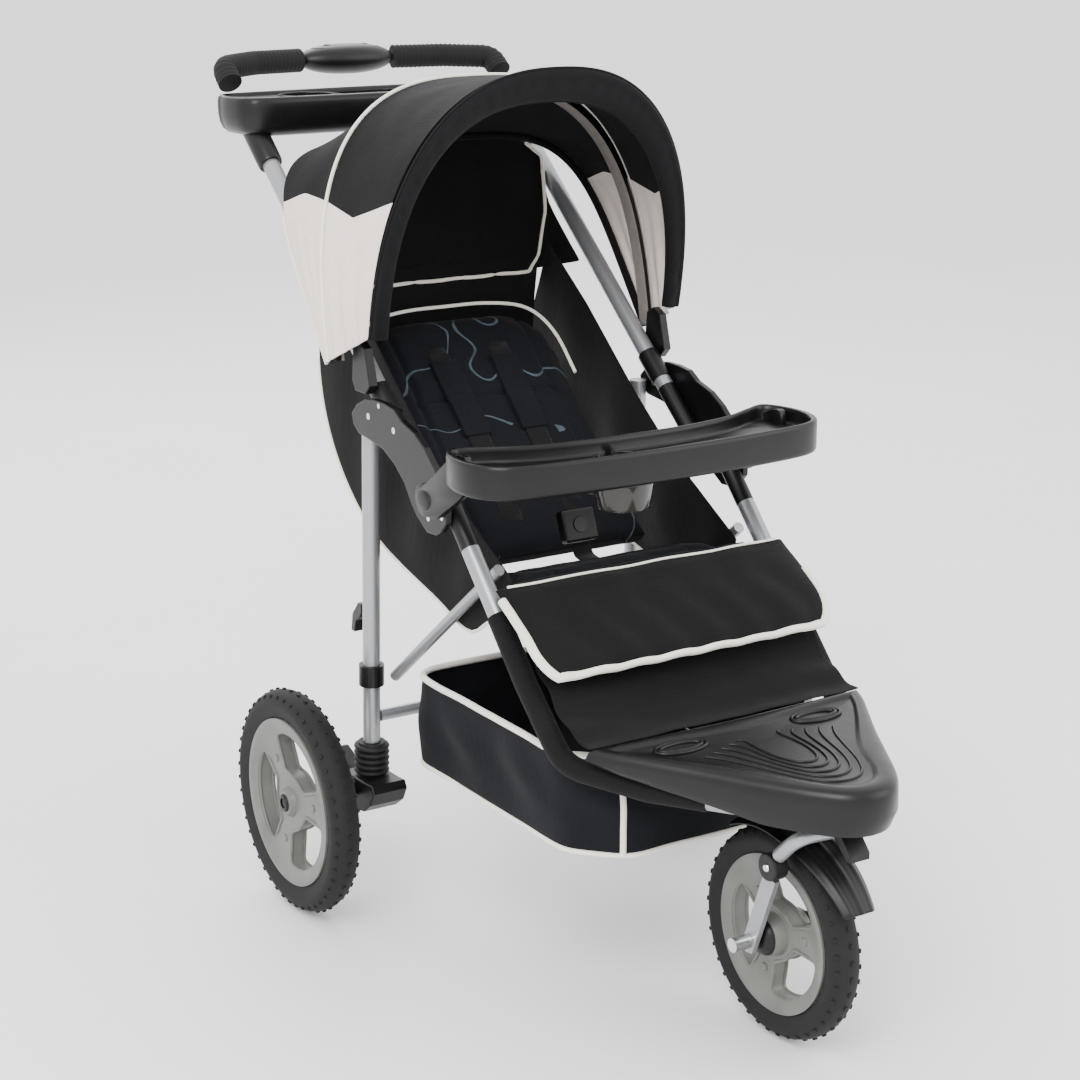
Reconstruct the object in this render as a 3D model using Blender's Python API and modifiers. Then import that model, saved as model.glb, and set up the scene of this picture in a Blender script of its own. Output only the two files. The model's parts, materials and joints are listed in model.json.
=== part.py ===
"""Three-wheeled jogging stroller with canopy, child tray, parent tray and folding frame.

Metres, +Z up.  The stroller faces -Y, its right-hand side is -X, and it stands on z = 0.
Each object is one physical piece.  Pieces on the right end in _R, pieces on the left in _L.
"""
import bpy
import bmesh
import math
from mathutils import Matrix, Vector

# ---- driving dimensions ----------------------------------------------------------
TUBE_X = 0.205            # frame tubes run in two planes at x = -TUBE_X and +TUBE_X
TUBE_R = 0.0115
HINGE = (-0.003, 0.587)   # fold axis (y, z) of the handle frame on the front frame
LEG_TOP = (0.1808, 0.645)     # leg pivot on the hinge bracket
LEG_FOOT = (0.1962, 0.2122)   # lower end of the rear leg tube
BRACE_TOP = (-0.084, 0.511)   # brace pivot on the front frame
BRACE_FOOT = (0.1760, 0.3030)
HANDLE_FOOT = (0.0620, 0.6078)
HANDLE_END = (0.4850, 0.9781)
CANOPY_J = (0.166, 0.738)     # canopy pivot
SEAT_A = (0.068, 0.430)       # backrest hinge rod
RECLINE = math.radians(44.0)  # backrest angle above the horizontal
REAR_AXLE = (0.203, 0.149)
REAR_WHEEL_X = 0.312
REAR_R = 0.149
FRONT_AXLE = (-0.415, 0.1287)
FRONT_R = 0.1287
SWIVEL = (-0.505, 0.2872)     # vertical swivel axis and the top of the fork
KNUCKLE = (-0.455, 0.236)
# Canopy arches: lower ends (y, z), tilt from +Y in degrees, half width, height, squareness
ARCHES = {
    "rear": (0.217, 0.718, 54.0, 0.2450, 0.3140, 5.0),
    "bow": (0.206, 0.722, 80.0, 0.2490, 0.3430, 2.8),
    "rim_outer": (0.131, 0.761, 101.0, 0.2314, 0.3266, 2.43),
    "rim_inner": (0.131, 0.761, 98.0, 0.2080, 0.2827, 2.43),
}
GAP = 0.0003
CENTRE_Y = 0.0360             # middle of the overall length, moved to y = 0 at the end
SIDES = ((-1, "R"), (1, "L"))

COLORS = {
    "silver_paint": ((0.55, 0.56, 0.58), 0.32, 0.85),
    "charcoal_plastic": ((0.055, 0.055, 0.060), 0.42, 0.0),
    "black_plastic": ((0.020, 0.020, 0.022), 0.45, 0.0),
    "smoked_plastic": ((0.060, 0.050, 0.045), 0.18, 0.0),
    "tyre_rubber": ((0.025, 0.025, 0.027), 0.80, 0.0),
    "grip_foam": ((0.028, 0.028, 0.030), 0.90, 0.0),
    "boot_rubber": ((0.015, 0.015, 0.016), 0.65, 0.0),
    "rim_plastic": ((0.46, 0.46, 0.44), 0.48, 0.0),
    "black_fabric": ((0.022, 0.023, 0.028), 0.90, 0.0),
    "canopy_fabric": ((0.030, 0.028, 0.030), 0.88, 0.0),
    "webbing": ((0.012, 0.012, 0.013), 0.80, 0.0),
    "steel": ((0.70, 0.70, 0.72), 0.25, 1.0),
}


# ---- helpers -----------------------------------------------------------------------
def finish(obj, name, slot):
    """Name the object, give it a material of its own and link it to the scene."""
    color, rough, metal = COLORS[slot]
    mat = bpy.data.materials.new(name + "_" + slot)
    mat.use_nodes = True
    bsdf = mat.node_tree.nodes["Principled BSDF"]
    bsdf.inputs["Base Color"].default_value = (*color, 1.0)
    bsdf.inputs["Roughness"].default_value = rough
    bsdf.inputs["Metallic"].default_value = metal
    mat.diffuse_color = (*color, 1.0)
    obj.name = name
    obj.data.name = name
    obj.data.materials.clear()
    obj.data.materials.append(mat)
    if obj.name not in bpy.context.scene.collection.objects:
        bpy.context.scene.collection.objects.link(obj)
    return obj


def mesh_object(name, slot, verts, faces):
    mesh = bpy.data.meshes.new(name)
    mesh.from_pydata([tuple(v) for v in verts], [], faces)
    fix_normals(mesh)
    return finish(bpy.data.objects.new(name, mesh), name, slot)


def fix_normals(mesh):
    bm = bmesh.new()
    bm.from_mesh(mesh)
    bmesh.ops.remove_doubles(bm, verts=bm.verts, dist=1e-6)
    bmesh.ops.recalc_face_normals(bm, faces=bm.faces)
    bm.to_mesh(mesh)
    bm.free()


def curve_to_mesh(curve, matrix=None):
    """Turn a curve into a welded mesh object that is not yet in the scene."""
    holder = bpy.data.objects.new("curve", curve)
    mesh = bpy.data.meshes.new_from_object(holder)
    bpy.data.objects.remove(holder)
    if matrix:
        mesh.transform(matrix)
    fix_normals(mesh)
    return bpy.data.objects.new("shape", mesh)


def fillet(points, radius, steps=5):
    """Round the corners of a polyline of 3D points."""
    pts = [Vector(p) for p in points]
    out = [pts[0]]
    for a, b, c in zip(pts, pts[1:], pts[2:]):
        u, v = (a - b).normalized(), (c - b).normalized()
        angle = u.angle(v)
        if angle > 3.1:
            out.append(b)
            continue
        cut = min(radius / math.tan(angle / 2), 0.49 * (a - b).length, 0.49 * (c - b).length)
        p, q = b + u * cut, b + v * cut
        for i in range(steps + 1):
            t = i / steps
            out.append(p.lerp(b, t).lerp(b.lerp(q, t), t))
    out.append(pts[-1])
    return out


def tube_mesh(points, radius, sides=4):
    """Round bar along a polyline: sides = 4 gives a 12-sided section."""
    curve = bpy.data.curves.new("path", "CURVE")
    curve.dimensions = "3D"
    curve.bevel_depth = radius
    curve.bevel_resolution = sides
    curve.use_fill_caps = True
    spline = curve.splines.new("POLY")
    spline.points.add(len(points) - 1)
    for point, co in zip(spline.points, points):
        point.co = (*co, 1.0)
    return curve_to_mesh(curve)


def tube(name, slot, points, radius, bend=0.0, sides=4, steps=5):
    if bend:
        points = fillet(points, bend, steps)
    return finish(tube_mesh(points, radius, sides), name, slot)


SIDE_PLANE = Matrix(((0, 0, 1, 0), (1, 0, 0, 0), (0, 1, 0, 0), (0, 0, 0, 1)))


def slab_mesh(outlines, low, high, bevel=0.0, plane="side"):
    """Extruded outline.  plane 'side': (y, z) outline from x = low to high.
    plane 'top': (x, y) outline from z = low to high.  Inner outlines are holes."""
    curve = bpy.data.curves.new("outline", "CURVE")
    curve.dimensions = "2D"
    curve.fill_mode = "BOTH"
    curve.extrude = (high - low) / 2 - bevel
    curve.bevel_depth = bevel
    curve.offset = -bevel
    curve.bevel_resolution = 1
    for outline in outlines:
        spline = curve.splines.new("POLY")
        spline.points.add(len(outline) - 1)
        spline.use_cyclic_u = True
        for point, (u, v) in zip(spline.points, outline):
            point.co = (u, v, 0.0, 1.0)
    lift = Matrix.Translation((0, 0, (low + high) / 2))
    return curve_to_mesh(curve, SIDE_PLANE @ lift if plane == "side" else lift)


def slab(name, slot, outlines, low, high, bevel=0.0, plane="side"):
    return finish(slab_mesh(outlines, low, high, bevel, plane), name, slot)


def circle(center, radius, count=20):
    step = 2 * math.pi / count
    return [
        (center[0] + radius * math.cos(i * step), center[1] + radius * math.sin(i * step))
        for i in range(count)
    ]


def smooth(outline, rounds=1):
    """Cut the corners of a closed outline."""
    for _ in range(rounds):
        nxt = outline[1:] + outline[:1]
        outline = [
            (a[0] * (1 - t) + b[0] * t, a[1] * (1 - t) + b[1] * t)
            for a, b in zip(outline, nxt)
            for t in (0.25, 0.75)
        ]
    return outline


def lathe(name, slot, profile, steps, closed, matrix, flip=False):
    """Screw a profile of (radius, height) points about the axis given by matrix."""
    mesh = bpy.data.meshes.new(name)
    count = len(profile)
    edges = [(i, i + 1) for i in range(count - 1)]
    if closed:
        edges.append((count - 1, 0))
    mesh.from_pydata([(r, 0.0, h) for r, h in profile], edges, [])
    obj = finish(bpy.data.objects.new(name, mesh), name, slot)
    screw = obj.modifiers.new("Screw", "SCREW")
    screw.steps = screw.render_steps = steps
    screw.angle = 2 * math.pi
    screw.use_merge_vertices = True
    screw.merge_threshold = 0.00005
    screw.use_normal_calculate = True
    screw.use_normal_flip = flip
    obj.matrix_world = matrix
    return obj


def along_x(x, center):
    """Matrix that turns local +Z to world +X at (x, y, z)."""
    return Matrix.Translation((x, *center)) @ Matrix.Rotation(math.pi / 2, 4, "Y")


def cylinder_mesh(radius, low, high, matrix, count=24):
    bm = bmesh.new()
    bmesh.ops.create_cone(bm, cap_ends=True, segments=count, radius1=radius, radius2=radius,
                          depth=high - low, matrix=Matrix.Translation((0, 0, (low + high) / 2)))
    mesh = bpy.data.meshes.new("cylinder")
    bm.to_mesh(mesh)
    bm.free()
    mesh.transform(matrix)
    return bpy.data.objects.new("cylinder", mesh)


def cylinder(name, slot, radius, low, high, matrix, count=24, bevel=0.0):
    obj = finish(cylinder_mesh(radius, low, high, matrix, count), name, slot)
    if bevel:
        round_edges(obj, bevel)
    return obj


def round_edges(obj, width, segments=2, angle=40.0):
    bevel = obj.modifiers.new("Bevel", "BEVEL")
    bevel.width = width
    bevel.segments = segments
    bevel.limit_method = "ANGLE"
    bevel.angle_limit = math.radians(angle)


def loft(name, slot, sections, cap=True):
    """Skin between closed sections that all have the same number of points."""
    verts = [v for section in sections for v in section]
    n = len(sections[0])
    faces = []
    for k in range(len(sections) - 1):
        for i in range(n):
            j = (i + 1) % n
            faces.append((k * n + i, k * n + j, (k + 1) * n + j, (k + 1) * n + i))
    if cap:
        faces.append(tuple(range(n)))
        last = (len(sections) - 1) * n
        faces.append(tuple(last + i for i in range(n)))
    return mesh_object(name, slot, verts, faces)


def sheet(name, slot, rows, thickness, offset=-1.0):
    """Grid of points made into a closed panel with Solidify."""
    cols = len(rows[0])
    verts = [v for row in rows for v in row]
    faces = [
        (r * cols + c, r * cols + c + 1, (r + 1) * cols + c + 1, (r + 1) * cols + c)
        for r in range(len(rows) - 1)
        for c in range(cols - 1)
    ]
    mesh = bpy.data.meshes.new(name)
    mesh.from_pydata([tuple(v) for v in verts], [], faces)
    obj = finish(bpy.data.objects.new(name, mesh), name, slot)
    solid = obj.modifiers.new("Solidify", "SOLIDIFY")
    solid.thickness = thickness
    solid.offset = offset
    solid.use_even_offset = True
    solid.use_rim = True
    return obj


def combine(obj, other, operation):
    """Boolean with a helper object kept in the hidden Cutters collection."""
    cutters = bpy.data.collections.get("Cutters")
    if cutters is None:
        cutters = bpy.data.collections.new("Cutters")
        bpy.context.scene.collection.children.link(cutters)
        cutters.hide_render = True
    other.name = obj.name + "_" + operation.lower()
    other.display_type = "WIRE"
    other.hide_render = True
    cutters.objects.link(other)
    boolean = obj.modifiers.new(operation.title(), "BOOLEAN")
    boolean.operation = operation
    boolean.solver = "EXACT"
    boolean.object = other
    return obj


def mirrored(points):
    """Path from the right half (negative x) on through its mirror image."""
    return list(points) + [(-x, y, z) for x, y, z in reversed(points) if abs(x) > 1e-6]


def box_section(x0, x1, lower, upper):
    """Four corners of a strip across x between two (y, z) points."""
    return [(x0, *lower), (x1, *lower), (x1, *upper), (x0, *upper)]


def strip(name, slot, x0, x1, line, thickness, bevel=0.0):
    """Flat strip across x that follows a (y, z) line, thickness to its left."""
    sections = []
    for i, p in enumerate(line):
        a = Vector(line[max(i - 1, 0)])
        b = Vector(line[min(i + 1, len(line) - 1)])
        d = (b - a).normalized()
        n = Vector((-d.y, d.x)) * thickness
        sections.append(box_section(x0, x1, p, (p[0] + n.x, p[1] + n.y)))
    obj = loft(name, slot, sections)
    if bevel:
        round_edges(obj, bevel)
    return obj


# ---- front frame --------------------------------------------------------------------
def front_frame():
    path = mirrored([
        (-TUBE_X, -0.003, 0.5988),
        (-TUBE_X, -0.186, 0.4012),
        (-0.202, -0.262, 0.3250),
        (-0.147, -0.350, 0.3125),
        (-0.066, -0.470, 0.3125),
    ])
    tube("lower_frame_tube", "silver_paint", path, TUBE_R, bend=0.06)
    head = slab("steering_head", "silver_paint",
                [[(-0.534, 0.2978), (-0.482, 0.2978), (-0.482, 0.3200), (-0.534, 0.3200)]],
                -0.024, 0.024)
    round_edges(head, 0.003)


def footrest():
    half = [(0.200, -0.302), (0.186, -0.330), (0.160, -0.372), (0.130, -0.420),
            (0.094, -0.482), (0.062, -0.534), (0.032, -0.567), (0.0, -0.577)]
    outline = [(-x, y) for x, y in half] + [(x, y) for x, y in reversed(half[:-1])]
    centre = Vector((0.0, -0.42))

    def ring(inset, height):
        pts = []
        for x, y in outline:
            p = Vector((x, y))
            p = p + (centre - p).normalized() * inset
            pts.append((p.x, p.y, height(y)))
        return pts

    def skirt(y):
        t = min(1.0, max(0.0, (-0.302 - y) / 0.18))
        return 0.3385 - 0.0365 * t

    rings = [
        ring(0.010, skirt),
        ring(0.000, lambda y: skirt(y) * 0.6 + 0.352 * 0.4),
        ring(0.002, lambda y: 0.3490),
        ring(0.010, lambda y: 0.3560),
        ring(0.024, lambda y: 0.3575),
        ring(0.036, lambda y: 0.3530),
        ring(0.080, lambda y: 0.3525),
    ]
    n = len(outline)
    verts = [v for r in rings for v in r]
    faces = []
    for k in range(len(rings) - 1):
        for i in range(n):
            j = (i + 1) % n
            faces.append((k * n + i, k * n + j, (k + 1) * n + j, (k + 1) * n + i))
    faces.append(tuple((len(rings) - 1) * n + i for i in range(n)))
    shell = mesh_object("footrest", "charcoal_plastic", verts, faces)
    solid = shell.modifiers.new("Solidify", "SOLIDIFY")
    solid.thickness = 0.0032
    solid.offset = -1.0
    solid.use_even_offset = False


def lower_fabric():
    line = [(-0.123, 0.4930), (-0.150, 0.4790), (-0.182, 0.4600), (-0.212, 0.4360), (-0.234, 0.4120)]
    strip("calf_flap", "black_fabric", -0.212, 0.212, line, -0.018, bevel=0.005)
    line = [(-0.1640, 0.4560), (-0.1980, 0.4190), (-0.2350, 0.3850), (-0.2740, 0.3585), (-0.2990, 0.3560)]
    strip("footrest_fabric", "black_fabric", -0.198, 0.198, line, -0.003)


def seat():
    line = [(0.030, 0.4320), (-0.040, 0.4490), (-0.098, 0.4700)]
    base = strip("seat_base", "black_fabric", -0.160, 0.160, line, -0.030)
    round_edges(base, 0.008)
    tube("seat_hinge_rod", "steel", [(-0.163, *SEAT_A), (0.163, *SEAT_A)], 0.005)
    back_pad("seat_back", "black_fabric", -0.150, 0.150, 0.012, 0.420, 0.010, 0.038, 0.008)
    for side, tag in SIDES:
        x0, x1 = sorted((side * 0.030, side * 0.066))
        back_pad("shoulder_strap_" + tag, "webbing", x0, x1, 0.075, 0.350, 0.0383, 0.0440, 0.002)
        outline = [
            (-0.100, 0.468), (-0.040, 0.432), (-0.005, 0.410), (0.030, 0.412), (0.080, 0.428),
            (0.230, 0.470), (0.320, 0.530), (0.375, 0.610), (0.392, 0.700), (0.366, 0.775),
            (0.345, 0.825), (0.250, 0.752), (0.130, 0.648), (0.030, 0.572), (-0.060, 0.520),
        ]
        low, high = sorted((side * 0.1660, side * 0.1690))
        slab("seat_wing_" + tag, "black_fabric", [smooth(outline)], low, high)


def back_pad(name, slot, x0, x1, s0, s1, t0, t1, bevel):
    """Box on the backrest: s runs up the backrest from its hinge, t forward from it."""
    d = Vector((math.cos(RECLINE), math.sin(RECLINE)))
    n = Vector((-d.y, d.x))
    a = Vector(SEAT_A)
    low = [a + d * s0 + n * t0, a + d * s0 + n * t1]
    high = [a + d * s1 + n * t0, a + d * s1 + n * t1]
    obj = loft(name, slot, [box_section(x0, x1, *low), box_section(x0, x1, *high)])
    round_edges(obj, bevel)
    return obj


def buckle():
    strap = [(-0.012, 0.4765), (0.002, 0.4800), (0.009, 0.4955)]
    strip("crotch_strap", "webbing", -0.014, 0.014, strap, -0.0016)
    body = slab("buckle", "black_plastic",
                [[(0.003, 0.5000), (0.0175, 0.4945), (0.0330, 0.5330), (0.0185, 0.5390)]],
                -0.024, 0.024)
    round_edges(body, 0.003)
    combine(body, cylinder_mesh(0.0105, -0.0085, 0.006, buckle_matrix(), 20), "DIFFERENCE")
    cylinder("buckle_button", "black_plastic", 0.0100, -0.0055, 0.0015, buckle_matrix(), 20)


def buckle_matrix():
    """Frame on the buckle's front face, local +Z out of it (forward and up)."""
    return Matrix.Translation((0.0, 0.0108, 0.5195)) @ Matrix.Rotation(math.radians(69.4), 4, "X")


def basket():
    def level(z, width, back, side_front, front):
        return [(-width, back, z), (-width, side_front, z), (-width * 0.72, front, z),
                (width * 0.72, front, z), (width, side_front, z), (width, back, z)]

    outer = [level(0.2000, 0.184, 0.134, -0.236, -0.292),
             level(0.2700, 0.190, 0.128, -0.234, -0.292),
             level(0.3260, 0.190, 0.120, -0.230, -0.278)]
    body = loft("basket", "black_fabric", outer)
    inner = [level(0.2030, 0.181, 0.131, -0.234, -0.289),
             level(0.2700, 0.187, 0.125, -0.232, -0.289),
             level(0.3400, 0.187, 0.115, -0.228, -0.272)]
    cutter = loft("basket_inside", "black_fabric", inner)
    bpy.context.scene.collection.objects.unlink(cutter)
    combine(body, cutter, "DIFFERENCE")


# ---- child tray -----------------------------------------------------------------------
def tray_outline(grow):
    half = [(0.232, -0.058), (0.249, -0.090), (0.251, -0.130), (0.236, -0.163), (0.200, -0.182),
            (0.110, -0.192), (0.0, -0.195)]
    rear = [(0.0, -0.104), (0.080, -0.102), (0.150, -0.090), (0.200, -0.068)]
    ring = [(-x, y) for x, y in half] + [(x, y) for x, y in reversed(half[:-1])]
    ring += [(x, y) for x, y in reversed(rear)] + [(-x, y) for x, y in rear[1:]]
    centre = Vector((0.0, -0.140))
    out = []
    for x, y in ring:
        shift = Vector((x * 0.25, y - centre.y)).normalized() * grow
        out.append((x + shift.x, y + shift.y))
    return out


def child_tray():
    body = slab("child_tray", "charcoal_plastic", [tray_outline(0.0)], 0.6200, 0.6610,
                bevel=0.004, plane="top")
    combine(body, slab_mesh([tray_outline(-0.009)], 0.6420, 0.6800, plane="top"), "DIFFERENCE")
    arm = [(-0.006, 0.608), (-0.022, 0.618), (-0.066, 0.650), (-0.100, 0.6590), (-0.100, 0.6220),
           (-0.084, 0.604), (-0.050, 0.582), (-0.032, 0.570), (-0.012, 0.568)]
    hub = [(HINGE[0] + 0.0205 * math.cos(a), HINGE[1] + 0.0205 * math.sin(a))
           for a in (math.radians(v) for v in range(-110, 100, 30))]
    for side, _ in SIDES:
        low, high = sorted((side * 0.2262, side * 0.2348))
        combine(body, slab_mesh([arm + hub], low, high), "UNION")
    hole = cylinder_mesh(0.0340, 0.60, 0.70, Matrix.Translation((-0.045, -0.1475, 0)), 28)
    combine(body, hole, "DIFFERENCE")
    cup = [(0.0, 0.5840), (0.0325, 0.5840), (0.0365, 0.6172), (0.0400, 0.6172), (0.0400, 0.6197),
           (0.0335, 0.6197), (0.0300, 0.5865), (0.0, 0.5865)]
    lathe("cup_holder", "smoked_plastic", cup, 28, False,
          Matrix.Translation((-0.045, -0.1475, 0)), flip=True)


# ---- handle frame ------------------------------------------------------------------------
BRACKET = [
    (0.133, 0.6840), (0.108, 0.6840), (0.084, 0.6810), (0.066, 0.6700), (0.035, 0.6610),
    (0.010, 0.6470), (-0.012, 0.6280), (-0.030, 0.6080), (-0.041, 0.5870), (-0.040, 0.5640),
    (-0.028, 0.5510), (-0.015, 0.5440), (0.006, 0.5430), (0.031, 0.5580), (0.046, 0.5730),
    (0.061, 0.5930), (0.086, 0.6120), (0.114, 0.6250), (0.150, 0.6300), (0.176, 0.6330),
    (0.190, 0.6430), (0.194, 0.6560), (0.180, 0.6700), (0.158, 0.6800),
]


def handle_frame():
    axis = Vector((0, HANDLE_END[0] - HANDLE_FOOT[0], HANDLE_END[1] - HANDLE_FOOT[1])).normalized()
    turn = axis.to_track_quat("Z", "Y").to_matrix().to_4x4()
    for side, tag in SIDES:
        x = side * TUBE_X
        tube("handle_tube_" + tag, "silver_paint",
             [(x, *HANDLE_FOOT), (x, *HANDLE_END)], TUBE_R)
        low, high = sorted((side * 0.2170, side * 0.2256))
        slab("hinge_bracket_" + tag, "charcoal_plastic", [BRACKET], low, high, bevel=0.0015)
        grip = [(side * 0.212, 0.5455, 1.0410), (side * 0.211, 0.568, 1.0600),
                (side * 0.150, 0.602, 1.0620), (side * 0.0745, 0.6140, 1.0620)]
        tube("grip_" + tag, "grip_foam", grip, 0.0165, bend=0.05)
        clamp = [(0.138, 0.700), (0.150, 0.688), (0.176, 0.688), (0.184, 0.700), (0.180, 0.745),
                 (0.166, 0.753), (0.150, 0.745)]
        low, high = sorted((side * 0.2170, side * 0.2290))
        slab("canopy_pivot_" + tag, "black_plastic", [clamp], low, high, bevel=0.0015)
    tray = parent_tray_body()
    for side, _ in SIDES:
        end = Matrix.Translation((side * TUBE_X, *HANDLE_END)) @ turn
        combine(tray, cylinder_mesh(0.0165, -0.055, 0.030, end, 26), "UNION")
    for side, _ in SIDES:
        end = Matrix.Translation((side * TUBE_X, *HANDLE_END)) @ turn
        combine(tray, cylinder_mesh(TUBE_R + GAP, -0.090, GAP, end, 24), "DIFFERENCE")
    for side, _ in SIDES:
        place = Matrix.Translation((side * 0.120, 0.500, 0))
        combine(tray, cylinder_mesh(0.0360, 0.9860, 1.06, place, 32), "DIFFERENCE")
    pocket = [(-0.068, 0.468), (0.068, 0.468), (0.068, 0.534), (-0.068, 0.534)]
    combine(tray, slab_mesh([smooth(pocket)], 0.9980, 1.06, plane="top"), "DIFFERENCE")
    console()


def parent_tray_body():
    half = [(0.236, 0.490), (0.236, 0.525), (0.222, 0.546), (0.120, 0.556), (0.0, 0.560)]
    front = [(0.0, 0.4450), (0.130, 0.4480), (0.205, 0.452), (0.228, 0.466)]
    ring = [(-x, y) for x, y in half] + [(x, y) for x, y in reversed(half[:-1])]
    ring += [(x, y) for x, y in reversed(front)] + [(-x, y) for x, y in front[1:]]
    return slab("parent_tray", "charcoal_plastic", [ring], 0.9760, 1.0280, bevel=0.006, plane="top")


def console():
    profile = []
    for i in range(13):
        a = math.pi * i / 12
        profile.append((math.sin(a), math.cos(a)))
    profile[0] = (0.0, 1.0)
    profile[-1] = (0.0, -1.0)
    matrix = Matrix.Translation((0, 0.6150, 1.0620)) @ Matrix.Diagonal((0.0738, 0.034, 0.021, 1))
    lathe("handle_console", "black_plastic", profile, 24, False, matrix)


# ---- canopy ---------------------------------------------------------------------------------
def arch(name, grow=0.0, across=0.0, count=34):
    """Evenly spaced 3D points on a canopy arch, made larger all round by grow
    and moved forward by across."""
    y, z, tilt, wide, tall, power = ARCHES[name]
    up = Vector((0, math.cos(math.radians(tilt)), math.sin(math.radians(tilt))))
    ahead = Vector((0, -up.z, up.y))
    fine = []
    for i in range(401):
        a = math.pi * i / 400
        c, s = math.cos(a), max(math.sin(a), 0.0)
        x = -(wide + grow) * math.copysign(abs(c) ** (2 / power), c)
        fine.append(Vector((x, y, z)) + up * (tall + grow) * s ** (2 / power) + ahead * across)
    lengths = [0.0]
    for p, q in zip(fine, fine[1:]):
        lengths.append(lengths[-1] + (q - p).length)
    out = []
    k = 0
    for i in range(count + 1):
        want = lengths[-1] * i / count
        while k < 399 and lengths[k + 1] < want:
            k += 1
        t = (want - lengths[k]) / (lengths[k + 1] - lengths[k])
        out.append(fine[k].lerp(fine[k + 1], min(t, 1.0)))
    return out


def between(first, last, t):
    return [a.lerp(b, t) for a, b in zip(first, last)]


def canopy_panel(name, first, last, low, high, rows):
    """Cloth stretched from one arch to the next, from share low to share high of the way."""
    grid = [between(first, last, low + (high - low) * r / rows) for r in range(rows + 1)]
    return sheet(name, "canopy_fabric", grid, 0.0025, offset=0.0)


def canopy_rim():
    """Padded ring between the outer and the inner front arch."""
    outer, inner = arch("rim_outer"), arch("rim_inner")
    tilt = math.radians(ARCHES["rim_outer"][2])
    ahead = Vector((0, -math.sin(tilt), math.cos(tilt)))
    section = [(0.0, -0.004), (0.0, 0.004), (0.25, 0.011), (0.75, 0.011), (1.0, 0.004), (1.0, -0.004),
               (0.75, -0.007), (0.25, -0.007)]
    rings = [[a.lerp(b, s) + ahead * t for s, t in section] for a, b in zip(outer, inner)]
    return loft("canopy_front_rim", "canopy_fabric", rings)


def rear_curtain():
    """Cloth that hangs from the rear arch to just above the backrest."""
    half = [(0.150, 0.780), (0.186, 0.860), (0.186, 0.935), (0.150, 0.9635), (0.080, 0.9760),
            (0.0, 0.9770)]
    outline = half + [(-x, z) for x, z in reversed(half[:-1])]
    slope = (0.4020 - 0.3720) / (0.972 - 0.780)
    place = Matrix(((1, 0, 0, 0), (0, slope, 1, 0.3720 - 0.780 * slope), (0, 1, 0, 0), (0, 0, 0, 1)))
    curtain = slab_mesh([outline], -0.00125, 0.00125, plane="top")
    curtain.data.transform(place)
    fix_normals(curtain.data)
    return curtain


def canopy():
    bow = arch("bow")
    rear = canopy_panel("canopy_rear_panel", arch("rear"), bow, 0.0, 0.94, 5)
    combine(rear, rear_curtain(), "UNION")
    canopy_panel("canopy_mid_panel", bow, arch("rim_outer"), 0.02, 0.92, 5)
    corners = ((-0.014, -0.006), (-0.007, -0.006), (-0.007, 0.006), (-0.014, 0.006))
    loft("canopy_mid_bow", "black_plastic", list(zip(*[arch("bow", g, a) for g, a in corners])))
    canopy_rim()


# ---- rear frame ----------------------------------------------------------------------------
def leg_point(distance):
    """(y, z) on the leg axis at a distance below the leg pivot."""
    a, b = Vector(LEG_TOP), Vector(LEG_FOOT)
    p = a + (b - a).normalized() * distance
    return p.x, p.y


def leg_matrix(x, distance):
    y, z = leg_point(distance)
    tilt = math.atan2(LEG_FOOT[0] - LEG_TOP[0], LEG_TOP[1] - LEG_FOOT[1])
    return Matrix.Translation((x, y, z)) @ Matrix.Rotation(tilt, 4, "X")


def rear_frame():
    for side, tag in SIDES:
        x = side * TUBE_X
        tube("rear_leg_" + tag, "silver_paint", [(x, *leg_point(-0.0085)), (x, *LEG_FOOT)], TUBE_R)
        ring = [(0.0165, -0.014), (0.0165, 0.014), (TUBE_R + GAP, 0.014), (TUBE_R + GAP, -0.014)]
        lathe("leg_clamp_" + tag, "black_plastic", ring, 24, True, leg_matrix(x, 0.3400), flip=True)
        tube("brace_" + tag, "silver_paint",
             [(side * 0.179, *BRACE_TOP), (side * 0.179, *BRACE_FOOT)], 0.0072)
    y, z = leg_point(0.4000)
    tube("rear_crossbar", "silver_paint", [(-0.1930, y, z), (0.1930, y, z)], 0.0080)
    latch = [(0.2048, 0.3985), (0.2140, 0.3985), (0.2300, 0.3800), (0.2340, 0.3560), (0.2250, 0.3560),
             (0.2200, 0.3720), (0.2100, 0.3790), (0.2048, 0.3870)]
    slab("fold_latch", "black_plastic", [latch], -0.2120, -0.1980, bevel=0.001)


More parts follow.
